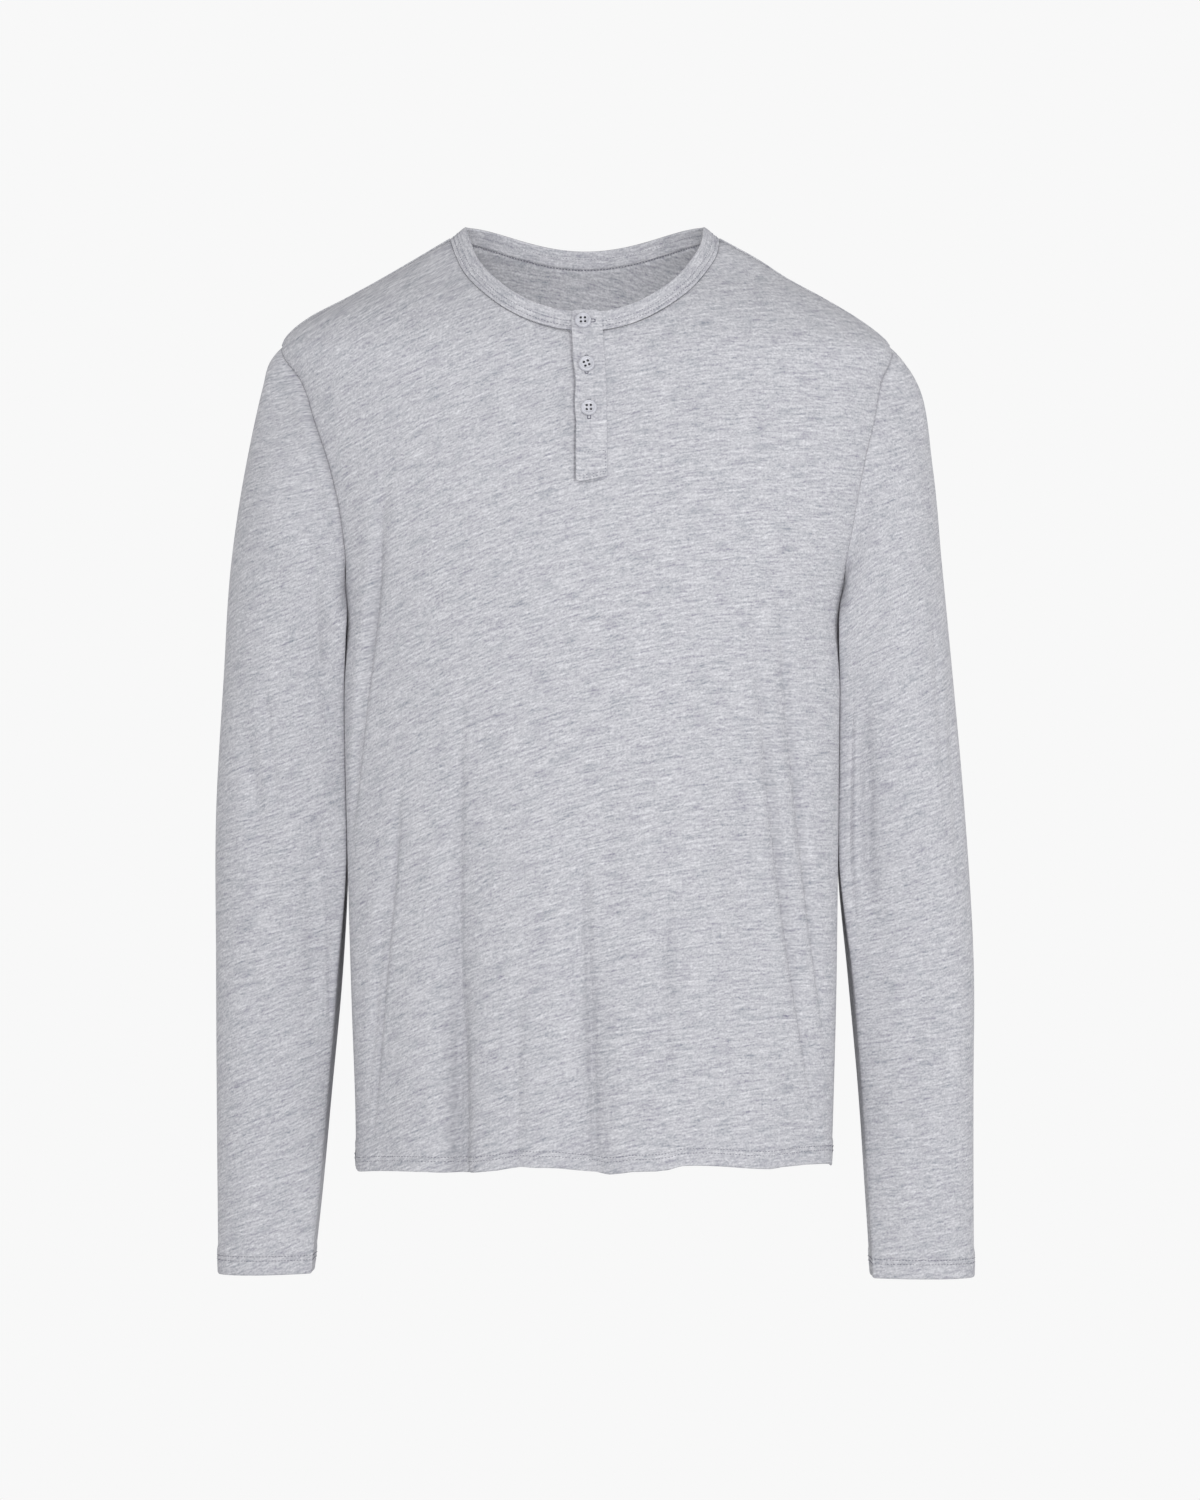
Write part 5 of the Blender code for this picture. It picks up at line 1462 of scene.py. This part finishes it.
def stitch_row(path, normals, lift=0.0, slack=0.0):
    """Stitches along a path: at even distances, each an arc that rises out of the cloth and goes
    back into it. Its height is lift plus the thread times the sine of the share along it."""
    sewing = bpy.context.scene.shirt_sewing
    step = sewing.stitch + sewing.gap
    travelled_path = travelled(path[None], 1)[0]
    count = max(int(travelled_path[-1] / step), 1)
    share = np.linspace(0, 1, STITCH_STATIONS)
    begins = (np.arange(count) + 0.5) * travelled_path[-1] / count - sewing.stitch / 2
    at = begins[:, None] + share[None, :] * sewing.stitch
    middle, normal = (
        np.stack([np.interp(at, travelled_path, part) for part in line.T], axis=-1)
        for line in (path, normals)
    )
    normal, arc = unit(normal), np.sin(math.pi * share)
    height = lift + sewing.thread * (STITCH_ARC[0] * arc - STITCH_ARC[1])
    width = sewing.thread / 2 * (STITCH_ENDS + (1 - STITCH_ENDS) * arc) * (1 + slack)
    return tubes(middle + normal * height[None, :, None], normal, np.broadcast_to(width, at.shape))


def join_threads(name, rows, material):
    """One piece from many rows of thread."""
    points, faces = zip(*rows)
    first = np.cumsum([0] + [len(row) for row in points[:-1]])
    faces = np.concatenate([row + start for row, start in zip(faces, first)])
    return new_piece(name, new_mesh(name, np.concatenate(points), faces), material)


def body_row(above, behind):
    """A path round half of the hem at a height above its edge, and its normals."""
    start = math.pi / 2 if behind else -math.pi / 2
    bearing = np.linspace(start + HALF_HEM_GAP, start + math.pi - HALF_HEM_GAP, 500)
    height = hem_height(bearing) + above
    return body_cloth(bearing, height), outward(body_cloth, bearing, height)


def cuff_row(name, above):
    """The same, all round a cuff."""
    turn = np.linspace(-math.pi, math.pi, 300)
    along = np.full(turn.shape, 1 - above / SLEEVE_LENGTH)
    side = SLEEVES[name][0]
    normals = side * outward(lambda t, a: sleeve_cloth(name, t, a), turn, along)
    return sleeve_cloth(name, turn, along), normals


def make_stitches():
    """The rows of stitches of the hem, the cuffs, the neck band and the placket, a piece for each."""
    sewing, thread = bpy.context.scene.shirt_sewing, thread_material("sewing_thread")
    face = bpy.context.scene.shirt_cloth.hem_wall / 2
    rows = (sewing.low_row, sewing.high_row)
    hem = [stitch_row(*body_row(row, behind), face) for row in rows for behind in (False, True)]
    join_threads("hem_stitches", hem, thread)
    for name in SLEEVES:
        cuff = [stitch_row(*cuff_row(name, row), face) for row in rows]
        join_threads(f"cuff_{name}_stitches", cuff, thread)
    start, end = band_ends()
    place = np.linspace(start + BAND_ROW_ENDS, end - BAND_ROW_ENDS, 900)
    neck = []
    for side, heights in ((1, BAND_ROWS), (-1, BAND_ROWS_INSIDE)):
        lift = np.full(place.shape, side * (BAND_WALL / 2 - NECK_ROW_SINK))
        for height in heights:
            path, middle = (band_surface(place, height + 0 * place, part) for part in (lift, 0 * lift))
            slack = INNER_SLACK if height == BAND_ROWS_INSIDE[0] else 0.0
            neck.append(stitch_row(path, path - middle, slack=slack))
    join_threads("neck_stitches", neck, thread)
    join_threads("placket_stitches", placket_rows(), thread)


def on_placket(x, height):
    """Points and normals on the upper strip's face."""
    run = height + NECK_DROP_FRONT
    lift = strip_lift(x, run) + PLACKET_WALL / 2
    return strip_surface(x, run, lift[..., None]), strip_outward(x, run)


def placket_rows():
    """The stitched box at the placket's foot: across its top, down its seam and back across, in
    two rows at its bottom. Each row has two values of x and two heights."""
    lean = PLACKET_LEAN[1][0]
    at_edge, at_seam, at_bottom = BOX_INSETS
    left, right = PLACKET_FREE_EDGE + lean + at_edge, PLACKET_SEAM + lean - at_seam
    top, foot = BOX_TOP + BOX_TOP_RISE, PLACKET_BOTTOM + at_bottom
    low = foot + 2 * FOOT_SLOPE
    return [
        stitch_row(*on_placket(np.linspace(*x, 60), np.linspace(*z, 60))) for x, z in (
            ((left + BOX_TOP_START, right), (BOX_TOP, top)),
            ((right, right), (top, low)),
            ((right, left), (low, foot + BOX_FAR_RISE[0])),
            ((right, left), (low + BOX_ROW_GAP, foot + BOX_FAR_RISE[1])),
        )
    ]


def make_buttonhole(number, x, height, half_x, half_z):
    """Close bars of thread round a slit: a flat oval ring on the placket's face, ribbed along its
    length by a sine."""
    share = np.linspace(0, 1, BUTTONHOLE_BARS * STITCH_STATIONS + 1)[:-1]
    angle = share * 2 * math.pi
    long = max(half_x, half_z) - BUTTONHOLE_END
    straight = np.clip(np.cos(angle) * BUTTONHOLE_STRAIGHTNESS, -1, 1)
    run_along = straight * long + BUTTONHOLE_END * np.cos(angle)
    run_wide = rounded(angle, BUTTONHOLE_ROUNDNESS)[1] * BUTTONHOLE_HALF_WIDTH
    across, up = (run_along, run_wide) if half_x else (run_wide, run_along)
    path, normal = on_placket(x + across, height + up)
    width = BUTTONHOLE_THREAD * (1 + BUTTONHOLE_RIBS * np.sin(angle * BUTTONHOLE_BARS))
    side = np.cross(unit(np.roll(path, -1, axis=0) - np.roll(path, 1, axis=0)), normal)
    turn = (np.arange(8) * 2 * math.pi / 8)[:, None]
    ring = side[:, None] * np.cos(turn) + normal[:, None] * np.sin(turn) * BUTTONHOLE_FLATNESS
    faces = grid_faces(len(share), len(turn), closed=True, looped=True)
    mesh = new_mesh(f"buttonhole_{number}", path[:, None] + ring * width[:, None, None], faces)
    return new_piece(f"buttonhole_{number}", mesh, thread_material("sewing_thread"))


def make_button_thread(number, place):
    """The thread that holds a button, seen in its holes: two strands up each of them, filling them.
    Its near-black colour is painted shade, so that the holes look dark.
    """
    rise = np.linspace(*BUTTON_STRAND_ENDS, STITCH_STATIONS)
    places = [
        (x * BUTTON_HOLE_SPREAD + side * BUTTON_STRAND_SPREAD, y * BUTTON_HOLE_SPREAD)
        for x in (-1, 1) for y in (-1, 1) for side in (-1, 1)
    ]
    path = np.array([np.stack(np.broadcast_arrays(x, y, rise), -1) for x, y in places])
    turn = np.array(place.to_3x3())
    path = path @ turn.T + np.array(place.translation)
    widths = np.full(path.shape[:2], BUTTON_STRAND)
    strands = tubes(path, np.broadcast_to(turn[:, 1], path.shape), widths)
    return join_threads(f"button_{number}_thread", [strands], thread_material("button_thread"))


# ---- Finishes -----------------------------------------------------------------------------------


class Tree:
    """Adds nodes to a node tree and joins them."""

    def __init__(self, tree):
        self.tree = tree

    def node(self, kind, inputs=(), **settings):
        made = self.tree.nodes.new(kind)
        for name, value in settings.items():
            setattr(made, name, value)
        for name, value in dict(inputs).items():
            self.put(made.inputs[name], value)
        return made

    def put(self, socket, value):
        if isinstance(value, bpy.types.NodeSocket):
            self.tree.links.new(value, socket)
        else:
            socket.default_value = value

    def math(self, operation, first, second=0.0, third=0.0):
        made = self.node("ShaderNodeMath", operation=operation)
        for socket, value in zip(made.inputs, (first, second, third)):
            self.put(socket, value)
        return made.outputs[0]

    def spread(self, value, low, high, to_low=0.0, to_high=1.0):
        """value taken from low..high to to_low..to_high with soft ends."""
        made = self.node(
            "ShaderNodeMapRange",
            {"Value": value, "From Min": low, "From Max": high, "To Min": to_low, "To Max": to_high},
            interpolation_type="SMOOTHSTEP",
        )
        return made.outputs["Result"]

    def mix(self, share, first, second):
        made = self.node("ShaderNodeMix", data_type="RGBA")
        for number, value in ((0, share), (6, first), (7, second)):
            self.put(made.inputs[number], value)
        return made.outputs[2]

    def object_place(self):
        return self.node("ShaderNodeTexCoord").outputs["Object"]

    def noise(self, place, scale, dimensions="3D", **inputs):
        values = {"Vector": place, "Scale": scale, **inputs}
        return self.node("ShaderNodeTexNoise", values, noise_dimensions=dimensions).outputs["Fac"]

    def mottled(self, colour, shade, noise):
        """A colour that noise darkens here and there to shade times itself."""
        darker = (*(shade * part for part in colour), 1)
        return self.mix(self.spread(noise, 0.35, 0.65), darker, (*colour, 1))

    def bump(self, shader, relief, strength, distance):
        values = {"Strength": strength, "Distance": distance, "Height": relief}
        made = self.node("ShaderNodeBump", values)
        self.put(shader.inputs["Normal"], made.outputs["Normal"])

    def lay_out(self):
        """Places the nodes in columns, so that the tree can be read."""
        for number, node in enumerate(self.tree.nodes):
            node.location = (220 * (number % 8), -260 * (number // 8))


def new_group(name, inputs, outputs):
    """A node group with named sockets. Each input has a type and a value."""
    group = bpy.data.node_groups.new(name, "ShaderNodeTree")
    for title, kind, value in inputs:
        socket = group.interface.new_socket(title, in_out="INPUT", socket_type=kind)
        if value is not None:
            socket.default_value = value
    for title, kind in outputs:
        group.interface.new_socket(title, in_out="OUTPUT", socket_type=kind)
    tree = Tree(group)
    return tree, tree.node("NodeGroupInput"), tree.node("NodeGroupOutput")


def streaks_group():
    """Streaks along the courses: noise drawn out to Length by Height, as a tone that is 0 on
    average, times Gain."""
    if "slub_streaks" in bpy.data.node_groups:
        return bpy.data.node_groups["slub_streaks"]
    tree, into, out = new_group("slub_streaks", (
        ("Place", "NodeSocketVector", None),
        ("Length", "NodeSocketFloat", 0.008),
        ("Height", "NodeSocketFloat", 0.001),
        ("Seed", "NodeSocketFloat", 0.0),
        ("Gain", "NodeSocketFloat", 1.0),
    ), (("Tone", "NodeSocketFloat"),))
    parts = tree.node("ShaderNodeSeparateXYZ", {"Vector": into.outputs["Place"]})
    stretched = tree.node("ShaderNodeCombineXYZ", {
        "X": tree.math("DIVIDE", parts.outputs["X"], into.outputs["Length"]),
        "Y": tree.math("DIVIDE", parts.outputs["Y"], into.outputs["Height"]),
        "Z": into.outputs["Seed"],
    })
    noise = tree.node("ShaderNodeTexNoise", {
        "Vector": stretched.outputs["Vector"], "Scale": 1.0, "Detail": 1.0, "Roughness": 0.5,
    })
    middle = tree.math("SUBTRACT", noise.outputs["Fac"], 0.5)
    tree.put(out.inputs["Tone"], tree.math("MULTIPLY", middle, into.outputs["Gain"]))
    tree.lay_out()
    return tree.tree


def knit_group():
    """Jersey's columns of small loops: slanting ridges whose slant turns over from each half
    column to the next."""
    if "jersey_knit" in bpy.data.node_groups:
        return bpy.data.node_groups["jersey_knit"]
    tree, into, out = new_group("jersey_knit", (
        ("Place", "NodeSocketVector", None),
        ("Column", "NodeSocketFloat", 0.0010),
        ("Course", "NodeSocketFloat", 0.0008),
    ), (("Relief", "NodeSocketFloat"),))
    parts = tree.node("ShaderNodeSeparateXYZ", {"Vector": into.outputs["Place"]})
    column = tree.math("DIVIDE", parts.outputs["X"], into.outputs["Column"])
    course = tree.math("DIVIDE", parts.outputs["Y"], into.outputs["Course"])
    fold = tree.math("PINGPONG", column, 0.5)
    slanted = tree.math("ADD", course, fold)
    ridge = tree.math("SINE", tree.math("MULTIPLY", slanted, 2 * math.pi))
    valley = tree.math("SINE", tree.math("MULTIPLY", fold, 2 * math.pi))
    relief = tree.math("MULTIPLY", tree.math("ADD", ridge, 1.2), tree.math("ADD", valley, 0.35))
    tree.put(out.inputs["Relief"], relief)
    tree.lay_out()
    return tree.tree


def streaks(tree, place, length, height, seed, gain):
    """The tone of one layer of streaks."""
    made = tree.node("ShaderNodeGroup", node_tree=streaks_group())
    values = {"Place": place, "Length": length, "Height": height, "Seed": seed, "Gain": gain}
    for name, value in values.items():
        tree.put(made.inputs[name], value)
    return made.outputs["Tone"]


def new_finish(name, roughness, sheen=0.0):
    """A material, its tree, and its main shader."""
    material = bpy.data.materials.new(name)
    material.use_nodes = True
    shader = material.node_tree.nodes["Principled BSDF"]
    shader.inputs["Roughness"].default_value = roughness
    shader.inputs["Sheen Weight"].default_value = sheen
    shader.inputs["Sheen Roughness"].default_value = 0.5
    shader.inputs["Specular IOR Level"].default_value = 0.2
    return material, Tree(material.node_tree), shader


def jersey_material():
    """Pale heather jersey: fine light and dark threads along the courses, with soft darker slubs
    in patches, over the relief of its knit."""
    if "slub_jersey" in bpy.data.materials:
        return bpy.data.materials["slub_jersey"]
    cloth = bpy.context.scene.shirt_cloth
    material, tree, shader = new_finish("slub_jersey", 0.92, 0.12)
    place = tree.node("ShaderNodeUVMap", uv_map="cloth").outputs["UV"]
    wander = [tree.noise(place, scale, "2D", Detail=0.0) for scale in WANDER_SCALES]
    parts = tree.node("ShaderNodeSeparateXYZ", {"Vector": place})
    up = tree.math("MULTIPLY_ADD", wander[0], WANDER[0], parts.outputs["Y"])
    place = tree.node("ShaderNodeCombineXYZ", {
        "X": parts.outputs["X"], "Y": tree.math("MULTIPLY_ADD", wander[1], WANDER[1], up),
    }).outputs["Vector"]

    tones = {
        name: streaks(tree, place, long * cloth.streak_length, high * cloth.streak_height, seed, gain)
        for name, (long, high, seed, gain) in STREAKS.items()
    }
    slub = tree.spread(tones["slubs"], *SLUB_EDGE)
    core = tree.math("MULTIPLY", tree.spread(tones["cores"], *SLUB_EDGE), slub)
    tone = tree.math("ADD", tree.math("ADD", tones["threads"], tones["grain"]), tones["speckle"])
    tone = tree.math("MULTIPLY_ADD", core, SLUB_DARKNESS, tone)
    darkening = tree.math("MULTIPLY_ADD", tone, -1.0, -TONE_SHIFT)
    lightening = tree.math("ADD", tone, TONE_SHIFT)
    for share in (darkening, lightening):
        share.node.use_clamp = True
    yarn = tree.noise(place, YARN_SCALE, "2D", Detail=1.0)
    dark = tree.mix(tree.spread(yarn, *YARN_EDGE), (*cloth.dark, 1), (*cloth.cool, 1))
    colour = tree.mix(darkening, (*cloth.pale, 1), dark)
    colour = tree.mix(lightening, colour, (*cloth.bright, 1))
    colour = tree.mix(tree.math("MULTIPLY", slub, SLUB_STAIN), colour, dark)
    tree.put(shader.inputs["Base Color"], colour)
    tree.put(shader.inputs["Roughness"], tree.spread(tone, -0.5, 0.5, 0.84, 0.96))

    knit = tree.node("ShaderNodeGroup", node_tree=knit_group())
    tree.put(knit.inputs["Place"], place)
    relief = tree.math("MULTIPLY_ADD", tone, 1.6, tree.math("MULTIPLY", knit.outputs["Relief"], 0.30))
    tree.bump(shader, relief, 0.5, 0.00016)
    tree.lay_out()
    return material


def thread_material(name):
    """Sewing thread of two twisted strands. The sewing thread is darker than the cloth, partly its own
    colour and partly painted shade for the pits where stitches dive in; the near-black button thread
    is painted shade in the buttons' holes.
    """
    if name in bpy.data.materials:
        return bpy.data.materials[name]
    scene = bpy.context.scene
    # The button thread's near-black colour is painted shade; the sewing thread's darkness is partly
    # painted shade.
    colour = scene.shirt_buttons.thread if name == "button_thread" else scene.shirt_sewing.colour
    material, tree, shader = new_finish(name, 0.8, 0.1)
    twist = tree.noise(tree.object_place(), 2600.0, Detail=1.0)
    tree.put(shader.inputs["Base Color"], tree.mottled(colour, 0.72, twist))
    tree.bump(shader, twist, 0.5, 0.00008)
    tree.lay_out()
    return material


def button_material():
    """Pale plastic with faint cloudy bands, as moulded polyester buttons have."""
    if "button_plastic" in bpy.data.materials:
        return bpy.data.materials["button_plastic"]
    colour = bpy.context.scene.shirt_buttons.colour
    material, tree, shader = new_finish("button_plastic", 0.38)
    shader.inputs["Specular IOR Level"].default_value = 0.5
    shader.inputs["Coat Weight"].default_value = 0.15
    place = tree.object_place()
    cloud = tree.noise(place, 240.0, Detail=3.0, Distortion=1.2)
    tree.put(shader.inputs["Base Color"], tree.mottled(colour, 0.86, cloud))
    tree.put(shader.inputs["Roughness"], tree.spread(cloud, 0.3, 0.7, 0.32, 0.46))
    tree.bump(shader, tree.noise(place, 1500.0), 0.08, 0.00005)
    tree.lay_out()
    return material


# ---- Stage --------------------------------------------------------------------------------------


def make_floor():
    """A round floor, in rings about its middle."""
    stage = bpy.context.scene.shirt_stage
    radius = np.linspace(0, 1, 25)[1:, None] * stage.floor_radius
    angle = np.linspace(0, 2 * math.pi, 97)[None, :-1]
    points = np.stack((
        radius * np.cos(angle), radius * np.sin(angle), stage.floor_height + 0 * radius * angle,
    ), axis=-1)
    faces = grid_faces(*points.shape[:2], closed=True, turned=True).reshape(-1, 4).tolist()
    mesh = bpy.data.meshes.new("floor")
    mesh.from_pydata(points.reshape(-1, 3).tolist(), [], faces + [list(range(points.shape[1]))])
    mesh.shade_smooth()
    material, tree, shader = new_finish("floor", 0.9)
    tones = [(tone, tone, tone, 1) for tone in FLOOR_TONES]
    noise = tree.noise(tree.object_place(), 3.0)
    tree.put(shader.inputs["Base Color"], tree.mix(noise, *tones))
    tree.lay_out()
    mesh.materials.append(material)
    floor = bpy.data.objects.new("floor", mesh)
    bpy.context.scene.collection.objects.link(floor)


def make_surroundings():
    """Plain pale surroundings up to well above eye level, and a dimmer ceiling: the colour falls
    from one to the other as the direction rises."""
    stage = bpy.context.scene.shirt_stage
    world = bpy.data.worlds.new("surroundings")
    world.use_nodes = True
    tree = Tree(world.node_tree)
    direction = tree.node("ShaderNodeTexCoord").outputs["Generated"]
    rise = tree.node("ShaderNodeSeparateXYZ", {"Vector": direction}).outputs["Z"]
    colour = tree.mix(tree.spread(rise, *CEILING_EDGE), (*stage.surround, 1), (*stage.ceiling, 1))
    background = world.node_tree.nodes["Background"]
    tree.put(background.inputs["Color"], colour)
    background.inputs["Strength"].default_value = 1.0
    bpy.context.scene.world = world
    tree.lay_out()


def make_lamp(name, place, at, size, power):
    """A soft rectangular lamp at a place, facing a point."""
    light = bpy.data.lights.new(name, "AREA")
    light.shape = "RECTANGLE"
    light.size, light.size_y = size
    light.energy = power
    lamp = bpy.data.objects.new(name, light)
    bpy.context.scene.collection.objects.link(lamp)
    lamp.location = place
    lamp.rotation_euler = (Vector(at) - Vector(place)).to_track_quat("-Z", "Y").to_euler()
    lamp.visible_camera = False


def make_camera():
    data = bpy.data.cameras.new("camera")
    data.sensor_fit = "AUTO"
    data.sensor_width = 36.0
    data.lens = data.sensor_width * -CAMERA[1] / PICTURE_HEIGHT
    data.clip_start, data.clip_end = 0.1, 50
    camera = bpy.data.objects.new("camera", data)
    bpy.context.scene.collection.objects.link(camera)
    camera.location = CAMERA
    camera.rotation_euler = (math.pi / 2, 0, 0)
    bpy.context.scene.camera = camera


# ---- Operators and panel ------------------------------------------------------------------------


class SHIRT_OT_front(bpy.types.Operator):
    """Builds the front panel and hangs it from the shoulder seams"""

    bl_idname = "shirt.front"
    bl_label = "Front panel"

    def execute(self, context):
        piece = make_panel("body_front_cloth", False)
        return {"FINISHED"}


class SHIRT_OT_back(bpy.types.Operator):
    """Builds the back panel and hangs it from the shoulder seams"""

    bl_idname = "shirt.back"
    bl_label = "Back panel"

    def execute(self, context):
        piece = make_panel("body_back_cloth", True)
        return {"FINISHED"}


class SHIRT_OT_sleeves(bpy.types.Operator):
    """Builds both sleeves and hangs them from their armholes"""

    bl_idname = "shirt.sleeves"
    bl_label = "Sleeves"

    def execute(self, context):
        for name in SLEEVES:
            make_sleeve(name)
        return {"FINISHED"}


class SHIRT_OT_neck_band(bpy.types.Operator):
    """Builds the folded neck band along the neck seam"""

    bl_idname = "shirt.neck_band"
    bl_label = "Neck band"

    def execute(self, context):
        make_band()
        return {"FINISHED"}


class SHIRT_OT_placket(bpy.types.Operator):
    """Builds the two strips of the placket"""

    bl_idname = "shirt.placket"
    bl_label = "Placket"

    def execute(self, context):
        over, under = make_placket()
        return {"FINISHED"}


class SHIRT_OT_buttons(bpy.types.Operator):
    """Builds the buttons, the thread that holds them, near-black as painted shade in their holes, and
    their buttonholes
    """

    bl_idname = "shirt.buttons"
    bl_label = "Buttons"

    def execute(self, context):
        for number, (button, buttonhole) in enumerate(zip(BUTTONS, BUTTONHOLES), 1):
            make_button_thread(number, make_button(number, *button))
            make_buttonhole(number, *buttonhole)
        return {"FINISHED"}


class SHIRT_OT_stitches(bpy.types.Operator):
    """Sews the hems, cuffs, neck band and placket"""

    bl_idname = "shirt.stitches"
    bl_label = "Stitches"

    def execute(self, context):
        make_stitches()
        return {"FINISHED"}


class SHIRT_OT_stage(bpy.types.Operator):
    """Sets the floor, surroundings, lamps and camera"""

    bl_idname = "shirt.stage"
    bl_label = "Stage"

    def execute(self, context):
        stage = context.scene.shirt_stage
        make_floor()
        make_surroundings()
        for name, (place, at, size) in LAMPS.items():
            make_lamp(name, place, at, size, getattr(stage, name))
        make_camera()
        context.scene.view_settings.view_transform = "Standard"
        return {"FINISHED"}


class SHIRT_PT_panel(bpy.types.Panel):
    """Settings and pieces of the shirt"""

    bl_idname = "SHIRT_PT_panel"
    bl_label = "Henley shirt"
    bl_space_type = "VIEW_3D"
    bl_region_type = "UI"
    bl_category = "Shirt"

    def draw(self, context):
        layout, scene = self.layout, context.scene
        for title, group in SETTINGS.items():
            box = layout.box()
            box.label(text=title)
            settings = getattr(scene, group[0])
            for name in group[1].__annotations__:
                box.prop(settings, name)
        for operator in OPERATORS:
            layout.operator(operator.bl_idname)


SETTINGS = {
    "Cloth": ("shirt_cloth", ClothSettings),
    "Sewing": ("shirt_sewing", SewingSettings),
    "Buttons": ("shirt_buttons", ButtonSettings),
    "Stage": ("shirt_stage", StageSettings),
}
OPERATORS = (
    SHIRT_OT_front, SHIRT_OT_back, SHIRT_OT_sleeves, SHIRT_OT_neck_band, SHIRT_OT_placket,
    SHIRT_OT_buttons, SHIRT_OT_stitches, SHIRT_OT_stage,
)


def register():
    for place, kind in SETTINGS.values():
        bpy.utils.register_class(kind)
        setattr(bpy.types.Scene, place, bpy.props.PointerProperty(type=kind))
    for kind in (*OPERATORS, SHIRT_PT_panel):
        bpy.utils.register_class(kind)


def unregister():
    for kind in (SHIRT_PT_panel, *reversed(OPERATORS)):
        bpy.utils.unregister_class(kind)
    for place, kind in reversed(SETTINGS.values()):
        delattr(bpy.types.Scene, place)
        bpy.utils.unregister_class(kind)


def main():
    """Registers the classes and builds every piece."""
    register()
    bpy.ops.shirt.front()
    bpy.ops.shirt.back()
    bpy.ops.shirt.sleeves()
    bpy.ops.shirt.neck_band()
    bpy.ops.shirt.placket()
    bpy.ops.shirt.buttons()
    bpy.ops.shirt.stitches()
    bpy.ops.shirt.stage()


if __name__ == "__main__":
    main()
